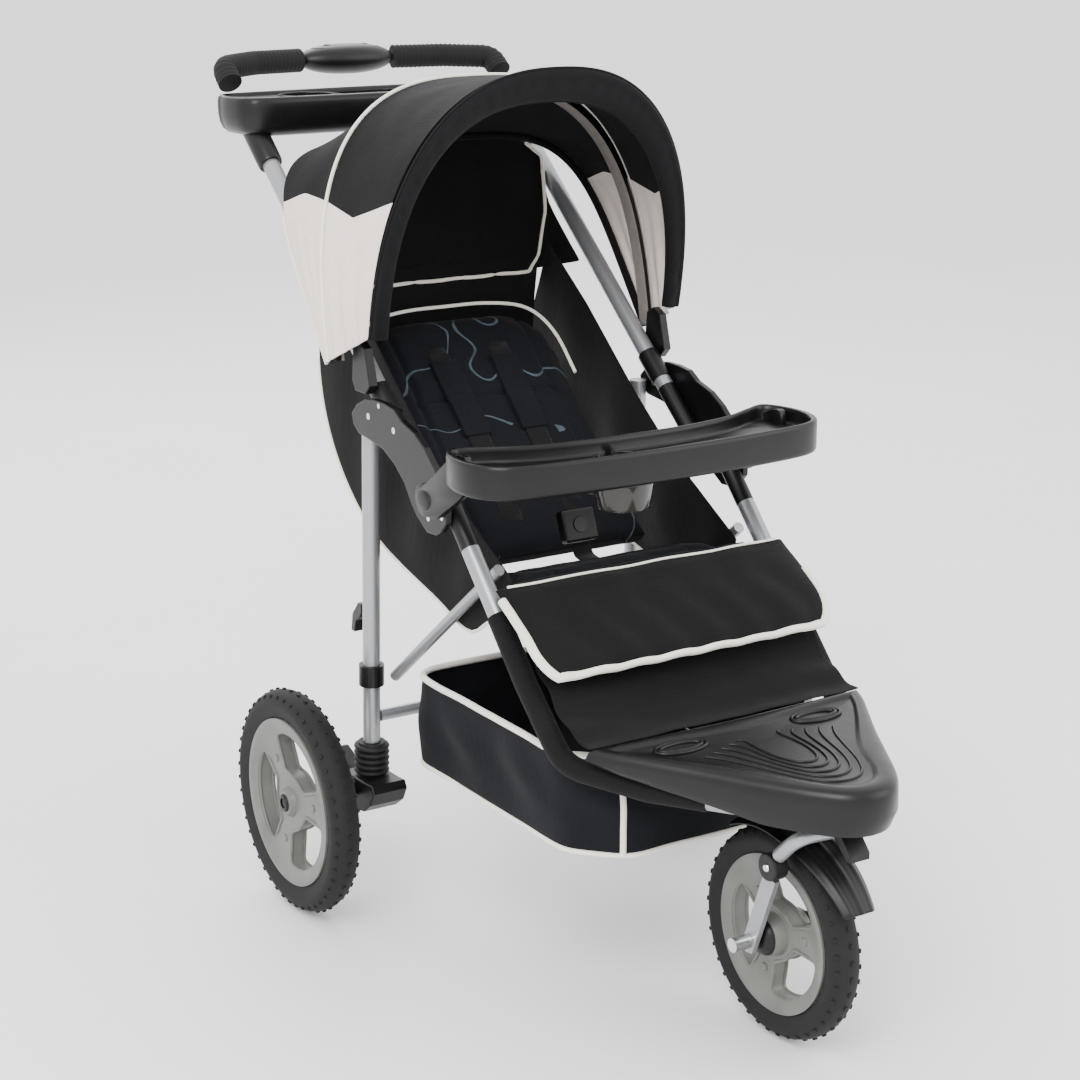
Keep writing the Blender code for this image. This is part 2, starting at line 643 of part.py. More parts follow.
def suspension():
    outline = [(0.2350, 0.1215), (0.2450, 0.1350), (0.2400, 0.1580), (0.2280, 0.1655),
               (0.1700, 0.1655), (0.1520, 0.1670), (0.1460, 0.1570), (0.1560, 0.1380),
               (0.1750, 0.1240), (0.2050, 0.1175)]
    for side, tag in SIDES:
        low, high = sorted((side * 0.1800, side * 0.2310))
        housing = slab("suspension_housing_" + tag, "black_plastic", [outline], low, high, bevel=0.002)
        low, high = sorted((side * 0.2250, side * 0.2880))
        stub = cylinder_mesh(0.0110, low, high, along_x(0.0, REAR_AXLE), 20)
        combine(housing, stub, "UNION")
        low, high = sorted((side * 0.2800, side * 0.3180))
        combine(housing, cylinder_mesh(0.0060, low, high, along_x(0.0, REAR_AXLE), 20), "UNION")
        ribs = [(0.0, 0.0220), (0.0180, 0.0220)]
        for k in range(4):
            z = 0.0190 - k * 0.0105
            ribs += [(0.0235, z), (0.0235, z - 0.0060), (0.0185, z - 0.0075)]
        ribs += [(0.0185, -0.0225), (0.0, -0.0225)]
        lathe("suspension_boot_" + tag, "boot_rubber", ribs, 24, False, leg_matrix(side * TUBE_X, 0.4555))
        pedal = [(0.2465, 0.1420), (0.2560, 0.1420), (0.3000, 0.1640), (0.3020, 0.1700),
                 (0.2940, 0.1720), (0.2500, 0.1540), (0.2465, 0.1500)]
        low, high = sorted((side * 0.1880, side * 0.2280))
        slab("brake_pedal_" + tag, "black_plastic", [pedal], low, high, bevel=0.0015)


# ---- wheels --------------------------------------------------------------------------------
def tyre(name, x, center, radius, rim_radius, half):
    """Tyre section: round crown, straight side walls, open towards the rim."""
    depth = radius - rim_radius
    outer = []
    for i in range(9):
        a = math.radians(-78 + 156 * i / 8)
        outer.append((radius - depth * 0.55 * (1 - math.cos(a) ** 0.8), half * math.sin(a) / 0.978))
    profile = outer + [(rim_radius + 0.001, half * 0.62), (rim_radius + 0.001, -half * 0.62)]
    lathe(name, "tyre_rubber", profile, 48, True, along_x(x, center))


def kidney(radius, inner, spread, angle):
    """Rounded kidney outline around the wheel centre, in the wheel's own plane."""
    pts = []
    for k in range(9):
        a = angle - spread + 2 * spread * k / 8
        bulge = 1 - abs(k - 4) / 4
        pts.append((radius * (0.90 + 0.10 * bulge ** 0.5), a))
    for k in range(8, -1, -1):
        a = angle - spread + 2 * spread * k / 8
        bulge = 1 - abs(k - 4) / 4
        pts.append((inner * (1.35 - 0.35 * bulge ** 0.5), a))
    return [(r * math.cos(a), r * math.sin(a)) for r, a in pts]


def rim(name, x, center, radius, hub, bore, hub_low, hub_high, face, turn):
    """Moulded rim: dished web between hub and outer ring, three kidney openings.
    face is +1 when the outer face looks to +X."""
    r = radius
    profile = [
        (bore, hub_high), (hub, hub_high), (hub * 1.15, 0.011), (r * 0.45, 0.010), (r * 0.88, 0.0155),
        (r, 0.0165), (r, -0.0165), (r * 0.88, -0.0150), (r * 0.45, -0.008), (hub * 1.15, -0.010),
        (hub, hub_low), (bore, hub_low),
    ]
    if face < 0:
        profile = [(a, -b) for a, b in reversed(profile)]
    obj = lathe(name, "rim_plastic", profile, 48, True, along_x(x, center))
    for k in range(3):
        hole = kidney(r * 0.82, r * 0.40, math.radians(38), turn + k * 2 * math.pi / 3)
        cutter = slab_mesh([hole], -0.03, 0.03, plane="top")
        cutter.data.transform(along_x(x, center))
        combine(obj, cutter, "DIFFERENCE")
    return obj


def wheels():
    for side, tag in SIDES:
        x = side * REAR_WHEEL_X
        tyre("rear_tyre_" + tag, x, REAR_AXLE, REAR_R, 0.1105, 0.0200)
        rim("rear_rim_" + tag, x, REAR_AXLE, 0.1108, 0.0170, 0.0064, -0.0235, 0.0190, side,
            math.radians(80))
    tyre("front_tyre", 0.0, FRONT_AXLE, FRONT_R, 0.0950, 0.0200)
    rim("front_rim", 0.0, FRONT_AXLE, 0.0953, 0.0230, 0.0053, -0.0360, 0.0360, 1, math.radians(80))


# ---- front fork ------------------------------------------------------------------------------
def fork():
    ky, kz = KNUCKLE
    path = mirrored([(-0.0465, ky - 0.0090, kz + 0.0155), (-0.0465, -0.4960, 0.2840), (0.0, -0.5080, 0.2872)])
    tube("fork_arms", "silver_paint", path, 0.0085, bend=0.035, steps=6)
    drop = (Vector(FRONT_AXLE) - Vector(KNUCKLE)).normalized()
    across = Vector((-drop.y, drop.x))
    top = Vector(KNUCKLE) + drop * 0.0168
    foot = Vector(FRONT_AXLE) + drop * 0.0120
    blade = [top - across * 0.0105, top + across * 0.0105, foot + across * 0.0100,
             foot + drop * 0.005, foot - across * 0.0100]
    for side, tag in SIDES:
        low, high = sorted((side * 0.0375, side * 0.0570))
        cylinder("fork_knuckle_" + tag, "black_plastic", 0.0163, low, high,
                 along_x(0.0, KNUCKLE), 24, bevel=0.0020)
        low, high = sorted((side * 0.0400, side * 0.0480))
        slab("fork_blade_" + tag, "silver_paint",
             [[tuple(p) for p in blade], circle(FRONT_AXLE, 0.0054, 16)], low, high, bevel=0.001)
    axle = [(0.0, -0.0720), (0.0085, -0.0720), (0.0085, -0.0485), (0.0050, -0.0485), (0.0050, 0.0485),
            (0.0085, 0.0485), (0.0085, 0.0560), (0.0, 0.0560)]
    lathe("front_axle", "steel", axle, 20, False, along_x(0.0, FRONT_AXLE), flip=True)
    rows = []
    for i in range(13):
        deg = 152 - 90 * i / 12
        a = math.radians(deg)
        flare = max(0.0, (deg - 100) / 52)
        r = 0.1390 + 0.0200 * flare ** 1.4
        row = []
        for k in range(9):
            u = -1 + k / 4
            w = 0.0330 * (1 - 0.35 * flare ** 2)
            rr = r - 0.0060 * abs(u) ** 3
            row.append((u * w, FRONT_AXLE[0] + rr * math.cos(a), FRONT_AXLE[1] + rr * math.sin(a)))
        rows.append(row)
    sheet("mudguard", "black_plastic", rows, 0.0028, offset=0.0)
    lever = [(-0.5180, 0.2950), (-0.5180, 0.2850), (-0.5400, 0.2640), (-0.5470, 0.2640),
             (-0.5470, 0.2720), (-0.5260, 0.2950)]
    slab("swivel_lock", "black_plastic", [lever], -0.0140, 0.0140, bevel=0.001)


# ---- assembly --------------------------------------------------------------------------------
PIVOTS = {
    "front_frame": (None, (0.0, 0.0, 0.0), [
        "lower_frame_tube", "steering_head", "footrest", "footrest_fabric", "calf_flap",
        "seat_base", "seat_wing_R", "seat_wing_L", "basket", "crotch_strap", "buckle", "seat_hinge_rod"]),
    "child_tray_pivot": ("front_frame", (0.0, *HINGE), ["child_tray", "cup_holder"]),
    "button_slide": ("front_frame", (0.0, 0.0108, 0.5195), ["buckle_button"]),
    "recline": ("front_frame", (0.0, *SEAT_A), ["seat_back", "shoulder_strap_R", "shoulder_strap_L"]),
    "handle_fold": ("front_frame", (0.0, *HINGE), [
        "handle_tube_R", "handle_tube_L", "hinge_bracket_R", "hinge_bracket_L", "grip_R",
        "grip_L", "handle_console", "parent_tray", "canopy_pivot_R", "canopy_pivot_L",
        "canopy_rear_panel"]),
    "canopy_mid": ("handle_fold", (0.0, *CANOPY_J), ["canopy_mid_bow", "canopy_mid_panel"]),
    "canopy_front": ("canopy_mid", (0.0, *CANOPY_J), ["canopy_front_rim"]),
    "rear_fold": ("handle_fold", (0.0, *LEG_TOP), [
        "rear_leg_R", "rear_leg_L", "leg_clamp_R", "leg_clamp_L", "rear_crossbar"]),
    "latch_pivot": ("rear_fold", (-TUBE_X, 0.2090, 0.3940), ["fold_latch"]),
    "brace_pivot_R": ("front_frame", (-0.179, *BRACE_TOP), ["brace_R"]),
    "brace_pivot_L": ("front_frame", (0.179, *BRACE_TOP), ["brace_L"]),
    "spring_R": ("rear_fold", (-TUBE_X, *LEG_FOOT), ["suspension_housing_R", "suspension_boot_R"]),
    "spring_L": ("rear_fold", (TUBE_X, *LEG_FOOT), ["suspension_housing_L", "suspension_boot_L"]),
    "brake_R": ("spring_R", (-TUBE_X, 0.2495, 0.1470), ["brake_pedal_R"]),
    "brake_L": ("spring_L", (TUBE_X, 0.2495, 0.1470), ["brake_pedal_L"]),
    "rear_spin_R": ("spring_R", (-REAR_WHEEL_X, *REAR_AXLE), ["rear_tyre_R", "rear_rim_R"]),
    "rear_spin_L": ("spring_L", (REAR_WHEEL_X, *REAR_AXLE), ["rear_tyre_L", "rear_rim_L"]),
    "fork_swivel": ("front_frame", (0.0, *SWIVEL), [
        "fork_arms", "fork_knuckle_R", "fork_knuckle_L", "fork_blade_R", "fork_blade_L",
        "front_axle", "mudguard"]),
    "lock_pivot": ("fork_swivel", (0.0, -0.5205, 0.2900), ["swivel_lock"]),
    "front_spin": ("fork_swivel", (0.0, *FRONT_AXLE), ["front_tyre", "front_rim"]),
}


def assemble():
    """Hang every piece from an empty on its own joint axis, then centre the stroller."""
    empties = {}
    for name, (parent, point, members) in PIVOTS.items():
        empty = bpy.data.objects.new(name, None)
        empty.empty_display_size = 0.03
        bpy.context.scene.collection.objects.link(empty)
        empties[name] = empty
        base = Vector(PIVOTS[parent][1]) if parent else Vector((0, 0, 0))
        empty.location = Vector(point) - base
        if parent:
            empty.parent = empties[parent]
        for member in members:
            obj = bpy.data.objects[member]
            shift = Matrix.Translation(-Vector(point))
            for modifier in obj.modifiers:
                if modifier.type == "BOOLEAN":
                    modifier.object.parent = empty
                    modifier.object.matrix_local = shift @ modifier.object.matrix_local
            obj.parent = empty
            obj.matrix_local = shift @ obj.matrix_local
    empties["front_frame"].location.y = -CENTRE_Y


def build():
    for obj in list(bpy.data.objects):
        bpy.data.objects.remove(obj, do_unlink=True)
    front_frame()
    footrest()
    lower_fabric()
    seat()
    buckle()
    basket()
    child_tray()
    handle_frame()
    canopy()
    rear_frame()
    suspension()
    wheels()
    fork()
    assemble()


build()
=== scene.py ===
"""Looks of the jogging stroller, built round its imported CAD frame.

Metres.  The stroller faces -Y and its own right-hand side is -X.  Stations along it are
measured from the design's own datum, and at() turns them into the frame's coordinates.
"""
import json
import math

import bpy
import bmesh
from mathutils import Matrix, Vector, noise


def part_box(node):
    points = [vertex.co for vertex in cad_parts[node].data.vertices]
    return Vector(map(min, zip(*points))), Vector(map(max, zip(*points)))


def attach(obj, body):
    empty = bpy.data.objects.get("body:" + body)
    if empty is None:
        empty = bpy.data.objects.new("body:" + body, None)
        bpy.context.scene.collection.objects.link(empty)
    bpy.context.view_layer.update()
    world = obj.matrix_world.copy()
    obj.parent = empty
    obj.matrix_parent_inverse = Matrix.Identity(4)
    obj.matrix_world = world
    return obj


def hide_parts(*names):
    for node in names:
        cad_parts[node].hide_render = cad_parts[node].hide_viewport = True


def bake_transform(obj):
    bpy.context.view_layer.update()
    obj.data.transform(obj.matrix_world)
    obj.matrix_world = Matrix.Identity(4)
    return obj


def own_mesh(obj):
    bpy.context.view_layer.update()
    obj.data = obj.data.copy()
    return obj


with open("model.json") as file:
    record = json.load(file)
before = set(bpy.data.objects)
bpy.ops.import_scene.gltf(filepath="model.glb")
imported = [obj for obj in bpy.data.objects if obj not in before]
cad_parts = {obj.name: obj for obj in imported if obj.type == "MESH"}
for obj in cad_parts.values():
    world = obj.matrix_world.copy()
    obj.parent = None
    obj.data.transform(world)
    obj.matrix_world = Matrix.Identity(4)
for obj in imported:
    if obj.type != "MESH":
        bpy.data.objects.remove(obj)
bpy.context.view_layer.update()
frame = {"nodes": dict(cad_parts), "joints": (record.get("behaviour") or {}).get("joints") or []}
PIVOT = {j["name"]: Vector(j["pos_m"]) for j in frame["joints"] if "pos_m" in j}
NODES = frame["nodes"]

HINGE = (-0.003, 0.587)
DATUM_Y = PIVOT["handle_fold"].y - HINGE[0]
TUBE_X = sum(corner[0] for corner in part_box("handle_tube_L")) / 2
TUBE_R = (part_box("handle_tube_L")[1][0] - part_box("handle_tube_L")[0][0]) / 2
LEG_TOP = (0.1808, 0.645)
LEG_FOOT = (0.1962, 0.2122)
HANDLE_FOOT = (0.062, 0.6078)
HANDLE_END = (0.485, 0.9781)
SEAT_A = (0.068, 0.43)
RECLINE = math.radians(44.0)
SEAT_LEAN = math.radians(16.0)
KNUCKLE = (-0.455, 0.236)
FRONT_AXLE = (-0.415, 0.1287)
REAR_AXLE = (0.203, 0.149)
SIDES = ((-1, "R", "right"), (1, "L", "left"))
PUFF_FRAMES = 20
# Canopy arches: lower ends (y, z), tilt from +Y in degrees, half width, height, squareness
ARCHES = {
    "rear": (0.217, 0.718, 54.0, 0.245, 0.314, 5.0),
    "bow": (0.206, 0.722, 80.0, 0.249, 0.343, 2.8),
    "rim_outer": (0.131, 0.761, 101.0, 0.2314, 0.3266, 2.43),
    "rim_inner": (0.131, 0.761, 98.0, 0.208, 0.2827, 2.43),
}


def at(x, y, z):
    """Frame coordinates of a point given from the design's datum."""
    return Vector((x, y + DATUM_Y, z))


# ---- materials --------------------------------------------------------------------------
class Look:
    """A Principled material and short ways to add procedural layers to it."""

    def __init__(self, name, rough, metal=0.0, **sockets):
        self.mat = bpy.data.materials.new(name)
        self.mat.use_nodes = True
        self.tree = self.mat.node_tree
        self.bsdf = self.tree.nodes["Principled BSDF"]
        self.place = self.node("ShaderNodeTexCoord").outputs["Object"]
        self.bsdf.inputs["Roughness"].default_value = rough
        self.bsdf.inputs["Metallic"].default_value = metal
        for key, value in sockets.items():
            socket = key.replace("_", " ").title().replace("Ior", "IOR")
            self.bsdf.inputs[socket].default_value = value

    def node(self, kind, **settings):
        made = self.tree.nodes.new(kind)
        for key, value in settings.items():
            setattr(made, key, value)
        return made

    def link(self, source, target):
        self.tree.links.new(source, target)

    def stretched(self, scale):
        mapping = self.node("ShaderNodeMapping")
        mapping.inputs["Scale"].default_value = scale
        self.link(self.place, mapping.inputs["Vector"])
        return mapping.outputs["Vector"]

    def noise(self, scale, detail=3.0, stretch=(1, 1, 1), rough=0.5):
        made = self.node("ShaderNodeTexNoise")
        made.inputs["Scale"].default_value = scale
        made.inputs["Detail"].default_value = detail
        made.inputs["Roughness"].default_value = rough
        self.link(self.stretched(stretch), made.inputs["Vector"])
        return made.outputs["Fac"]

    def wave(self, pitch, axis):
        made = self.node("ShaderNodeTexWave", bands_direction=axis, wave_profile="SIN")
        made.inputs["Scale"].default_value = math.pi / (10 * pitch)
        made.inputs["Distortion"].default_value = 0.4
        made.inputs["Detail"].default_value = 1.0
        self.link(self.place, made.inputs["Vector"])
        return made.outputs["Fac"]

    def math(self, operation, a, b):
        made = self.node("ShaderNodeMath", operation=operation)
        for socket, value in zip(made.inputs, (a, b)):
            if isinstance(value, (int, float)):
                socket.default_value = value
            else:
                self.link(value, socket)
        return made.outputs[0]

    def ramp(self, factor, low, high, stops):
        """Colour ramp over the part of factor from low to high."""
        made = self.node("ShaderNodeValToRGB")
        made.color_ramp.elements[0].position = low
        made.color_ramp.elements[1].position = high
        made.color_ramp.elements[0].color = (*stops[0], 1)
        made.color_ramp.elements[1].color = (*stops[1], 1)
        self.link(factor, made.inputs["Fac"])
        return made.outputs["Color"]

    def color(self, factor, dark, light, low=0.3, high=0.7):
        self.link(self.ramp(factor, low, high, (dark, light)), self.bsdf.inputs["Base Color"])

    def roughness(self, factor, smooth, rough):
        made = self.node("ShaderNodeMapRange")
        made.inputs["To Min"].default_value = smooth
        made.inputs["To Max"].default_value = rough
        self.link(factor, made.inputs["Value"])
        self.link(made.outputs["Result"], self.bsdf.inputs["Roughness"])

    def bump(self, height, depth, strength=1.0):
        made = self.node("ShaderNodeBump")
        made.inputs["Strength"].default_value = strength
        made.inputs["Distance"].default_value = depth
        self.link(height, made.inputs["Height"])
        self.link(made.outputs["Normal"], self.bsdf.inputs["Normal"])


def scaled(color, factor):
    return tuple(min(1.0, c * factor) for c in color)


def weave(name, color, pitch=0.0016, depth=0.0004, sheen=0.25, contrast=0.28, folds=0.0012):
    """Woven cloth: yarns both ways, slubs, soft creases and a little colour drift."""
    look = Look(name, 0.88, sheen_weight=sheen, sheen_roughness=0.45, specular_ior_level=0.18)
    yarns = look.math("ADD", look.wave(pitch, "X"),
                      look.math("ADD", look.wave(pitch, "Y"), look.wave(pitch, "Z")))
    yarns = look.math("MULTIPLY", yarns, 0.33)
    slub = look.noise(90.0, 3.0, (3.0, 1.0, 1.0))
    drift = look.noise(7.0, 4.0)
    tone = look.math("ADD", look.math("MULTIPLY", slub, 0.45), look.math("MULTIPLY", drift, 0.55))
    look.color(tone, scaled(color, 1 - contrast), scaled(color, 1 + contrast), 0.35, 0.65)
    look.roughness(slub, 0.8, 0.95)
    creases = look.math("MULTIPLY", look.noise(16.0, 2.5), folds / max(depth, 1e-6))
    look.bump(look.math("ADD", yarns, creases), depth, 1.0)
    return look


def fabric(name, color, *details, **settings):
    return weave(name, color, *details, **settings).mat


def plastic(name, color, rough=0.42, grain=0.00006, scale=1400.0):
    look = Look(name, rough, specular_ior_level=0.3)
    wear = look.noise(24.0, 5.0)
    look.color(wear, scaled(color, 0.86), scaled(color, 1.16))
    look.roughness(look.noise(60.0, 4.0), rough - 0.06, rough + 0.08)
    look.bump(look.noise(scale, 2.0), grain, 0.8)
    return look.mat


def paint(name, color):
    look = Look(name, 0.34, 0.65, coat_weight=0.25, coat_roughness=0.2)
    look.color(look.noise(2600.0, 2.0), scaled(color, 0.9), scaled(color, 1.08))
    look.roughness(look.noise(35.0, 5.0), 0.27, 0.42)
    look.bump(look.noise(420.0, 2.0), 0.00004, 0.6)
    return look.mat


def rubber(name, color, rough=0.78):
    look = Look(name, rough, specular_ior_level=0.35)
    dust = look.noise(45.0, 5.0)
    look.color(dust, color, scaled(color, 1.9), 0.45, 0.85)
    look.roughness(dust, rough - 0.08, rough + 0.08)
    look.bump(look.noise(900.0, 3.0), 0.00012, 0.8)
    return look.mat


def metal(name, color, rough):
    look = Look(name, rough, 1.0)
    look.color(look.noise(80.0, 3.0, (1, 12, 12)), scaled(color, 0.88), scaled(color, 1.06))
    look.roughness(look.noise(40.0, 3.0), rough - 0.06, rough + 0.08)
    look.bump(look.noise(700.0, 2.0, (1, 8, 8)), 0.00003, 0.6)
    return look.mat


def printed(name, base, ink):
    """Woven cloth with a loose scribble of thin lines printed here and there."""
    look = weave(name, base, sheen=0.03)
    contour = look.math("ABSOLUTE", look.math("SUBTRACT", look.noise(9.0, 1.0), 0.5), 0.0)
    lines = look.math("LESS_THAN", contour, 0.006)
    area = look.math("GREATER_THAN", look.noise(5.0, 0.0), 0.5)
    mix = look.node("ShaderNodeMix", data_type="RGBA")
    cloth_color = look.bsdf.inputs["Base Color"].links[0].from_socket
    look.link(look.math("MULTIPLY", lines, area), mix.inputs[0])
    look.link(cloth_color, mix.inputs[6])
    look.link(look.ramp(look.noise(60.0, 2.0), 0.3, 0.7, (scaled(ink, 0.5), ink)), mix.inputs[7])
    look.link(mix.outputs[2], look.bsdf.inputs["Base Color"])
    return look.mat


def smoked(name):
    look = Look(name, 0.12, transmission_weight=0.3, ior=1.49)
    look.color(look.noise(18.0, 3.0), (0.03, 0.026, 0.023), (0.045, 0.04, 0.035))
    look.roughness(look.noise(50.0, 3.0), 0.08, 0.18)
    look.bump(look.noise(300.0, 2.0), 0.00003, 0.5)
    return look.mat


MAT = {
    "silver_paint": paint("silver_paint", (0.33, 0.34, 0.36)),
    "charcoal_plastic": plastic("charcoal_plastic", (0.0036, 0.0036, 0.0042), 0.32),
    "black_plastic": plastic("black_plastic", (0.003, 0.003, 0.0035), 0.38),
    "smoked_plastic": smoked("smoked_plastic"),
    "tyre_rubber": rubber("tyre_rubber", (0.0045, 0.0045, 0.0048)),
    "grip_foam": rubber("grip_foam", (0.0045, 0.0045, 0.0052), 0.86),
    "boot_rubber": rubber("boot_rubber", (0.0065, 0.0065, 0.007), 0.62),
    "rim_plastic": plastic("rim_plastic", (0.135, 0.135, 0.125), 0.4, 0.00005, 900.0),
    "black_fabric": fabric("black_fabric", (0.0042, 0.0046, 0.007), sheen=0.03),
    "canopy_fabric": fabric("canopy_fabric", (0.0042, 0.0037, 0.0046), sheen=0.03),
    "lower_fabric": fabric("lower_fabric", (0.0045, 0.0042, 0.0046), sheen=0.03),
    "cream_fabric": fabric("cream_fabric", (0.8, 0.7, 0.65), 0.0014, 0.0002, 0.1, 0.05, 0.0008),
    "piping": fabric("piping", (0.86, 0.82, 0.72), 0.0012, 0.00015, 0.1, 0.05, 0.0001),
    "lining_tape": fabric("lining_tape", (0.2, 0.18, 0.165), 0.0012, 0.0002, 0.1, 0.15, 0.0001),
    "printed_fabric": printed("printed_fabric", (0.0042, 0.0046, 0.007), (0.075, 0.1, 0.125)),
    "webbing": fabric("webbing", (0.0042, 0.0042, 0.005), 0.0022, 0.0005, 0.15, 0.25, 0.0001),
    "steel": metal("steel", (0.74, 0.74, 0.76), 0.24),
}


# ---- shape helpers ------------------------------------------------------------------------
def show(obj, *mats):
    if obj.data.materials:
        obj.data.materials.clear()
    for mat in mats:
        obj.data.materials.append(MAT[mat])
    if obj.name not in bpy.context.scene.collection.objects:
        bpy.context.scene.collection.objects.link(obj)
    return obj


def shade(mesh, angle=38.0):
    mesh.shade_smooth()
    mesh.set_sharp_from_angle(angle=math.radians(angle))


def solid(name, verts, faces, *mats, angle=38.0, indices=None):
    """Mesh piece with outward faces, smooth shading and sharp edges past angle."""
    mesh = bpy.data.meshes.new(name)
    mesh.from_pydata([tuple(v) for v in verts], [], faces)
    if indices:
        for polygon, index in zip(mesh.polygons, indices):
            polygon.material_index = index
    bm = bmesh.new()
    bm.from_mesh(mesh)
    bmesh.ops.remove_doubles(bm, verts=bm.verts, dist=1e-6)
    bmesh.ops.recalc_face_normals(bm, faces=bm.faces)
    bm.to_mesh(mesh)
    bm.free()
    shade(mesh, angle)
    return show(bpy.data.objects.new(name, mesh), *mats)


def grid_faces(rows, cols, around=False):
    """Quads of a grid of points, joined round the columns when around is true."""
    span = cols if around else cols - 1
    return [
        (r * cols + c, r * cols + (c + 1) % cols, (r + 1) * cols + (c + 1) % cols, (r + 1) * cols + c)
        for r in range(rows - 1)
        for c in range(span)
    ]


def circle_angles(count):
    return [2 * math.pi * k / count for k in range(count)]


def loft(name, sections, *mats, cap=True, angle=38.0):
    n = len(sections[0])
    faces = grid_faces(len(sections), n, True)
    if cap:
        last = (len(sections) - 1) * n
        faces += [tuple(range(n)), tuple(last + i for i in range(n))]
    return solid(name, [v for s in sections for v in s], faces, *mats, angle=angle)


def round_corners(points, radius, steps=8):
    pts = [Vector(p) for p in points]
    out = [pts[0]]
    for a, b, c in zip(pts, pts[1:], pts[2:]):
        u, v = (a - b).normalized(), (c - b).normalized()
        angle = u.angle(v)
        if angle > 3.1:
            out.append(b)
            continue
        cut = min(radius / math.tan(angle / 2), 0.49 * (a - b).length, 0.49 * (c - b).length)
        for i in range(steps + 1):
            t = i / steps
            p = (b + u * cut).lerp(b, t)
            out.append(p.lerp(b.lerp(b + v * cut, t), t))
    out.append(pts[-1])
    return out


def curve_through(points, count, closed=False):
    """Smooth path through the points, count steps to each stretch."""
    pts = [Vector(p) for p in points]
    n = len(pts)
    out = []
    for i in range(n if closed else n - 1):
        if closed:
            a, b, c, d = (pts[(i + k) % n] for k in (-1, 0, 1, 2))
        else:
            b, c = pts[i], pts[i + 1]
            a = pts[i - 1] if i else b * 2 - c
            d = pts[i + 2] if i + 2 < n else c * 2 - b
        for k in range(count):
            t = k / count
            out.append(0.5 * (2 * b + (c - a) * t + (2 * a - 5 * b + 4 * c - d) * t * t
                              + (3 * b - a - 3 * c + d) * t ** 3))
    if not closed:
        out.append(pts[-1])
    return out


def pipe(name, points, radius, mat, closed=False, sides=6):
    """Round bar along the points: sides = 6 gives a 16-sided section."""
    curve = bpy.data.curves.new(name, "CURVE")
    curve.dimensions = "3D"
    curve.bevel_depth = radius
    curve.bevel_resolution = sides
    curve.use_fill_caps = True
    spline = curve.splines.new("POLY")
    spline.points.add(len(points) - 1)
    for point, co in zip(spline.points, points):
        point.co = (*co, 1.0)
    spline.use_cyclic_u = closed
    spline.use_smooth = True
    return show(bpy.data.objects.new(name, curve), mat)


def oval(name, matrix, size, height, radius, mat, count=48, sides=6):
    """Closed pipe round an oval in the matrix's local XY plane."""
    wide, deep = size
    ring = [matrix @ Vector((wide * math.cos(a), deep * math.sin(a), height))
            for a in circle_angles(count)]
    return pipe(name, ring, radius, mat, closed=True, sides=sides)


def frames_along(points, side, closed=False):
    """(point, side, up) along a path, with side kept close to the given direction."""
    out = []
    n = len(points)
    for i, p in enumerate(points):
        ahead = points[(i + 1) % n] if closed or i < n - 1 else p
        behind = points[i - 1] if closed or i else p
        d = (ahead - behind).normalized()
        want = side[i] if isinstance(side, list) else side
        s = (want - d * want.dot(d)).normalized()
        out.append((p, s, d.cross(s)))
    return out


def band(name, points, side, width, thick, mat, closed=False):
    """Flat strap along the points, its width along side, with rounded edges."""
    w, t = width / 2, thick / 2
    shape = [(-w, -t * 0.4), (-w * 0.94, -t), (w * 0.94, -t), (w, -t * 0.4), (w, t * 0.4),
             (w * 0.94, t), (-w * 0.94, t), (-w, t * 0.4)]
    rings = [[p + s * a + u * b for a, b in shape] for p, s, u in frames_along(points, side, closed)]
    if closed:
        rings.append(rings[0])
    return loft(name, rings, mat, cap=not closed, angle=60.0)


def turned(name, profile, steps, matrix, *mats, closed=False, angle=38.0):
    """Surface of revolution of (radius, height) points about the matrix's local Z."""
    rings = []
    for k in range(steps):
        a = 2 * math.pi * k / steps
        rings.append([matrix @ Vector((r * math.cos(a), r * math.sin(a), h)) for r, h in profile])
    rings.append(rings[0])
    faces = grid_faces(steps + 1, len(profile), closed)
    return solid(name, [v for ring in rings for v in ring], faces, *mats, angle=angle)


def along_x(x, center):
    return Matrix.Translation(at(x, *center)) @ Matrix.Rotation(math.pi / 2, 4, "Y")


def flipped(matrix, way):
    """The matrix, its local Z turned round when way is negative."""
    return matrix if way > 0 else matrix @ Matrix.Rotation(math.pi, 4, "X")


def facing(side, x, center):
    """Place on the side at x whose local Z points away from the middle."""
    return flipped(along_x(x, center), side)


def prism_faces(n):
    """Two end faces of n points each, and the quads between them."""
    sides = [(i, (i + 1) % n, n + (i + 1) % n, n + i) for i in range(n)]
    return [tuple(range(n)), tuple(n + i for i in range(n))] + sides


def plate(name, outline, low, high, edge, *mats):
    """(y, z) outline extruded from x = low to x = high, with rounded edges."""
    verts = [at(x, y, z) for x in (low, high) for y, z in outline]
    obj = solid(name, verts, prism_faces(len(outline)), *mats)
    soften(obj, edge)
    return obj


def soften(obj, width, angle=32.0):
    bevel = obj.modifiers.new("Bevel", "BEVEL")
    bevel.width = width
    bevel.segments = 3
    bevel.limit_method = "ANGLE"
    bevel.angle_limit = math.radians(angle)
    bevel.harden_normals = True


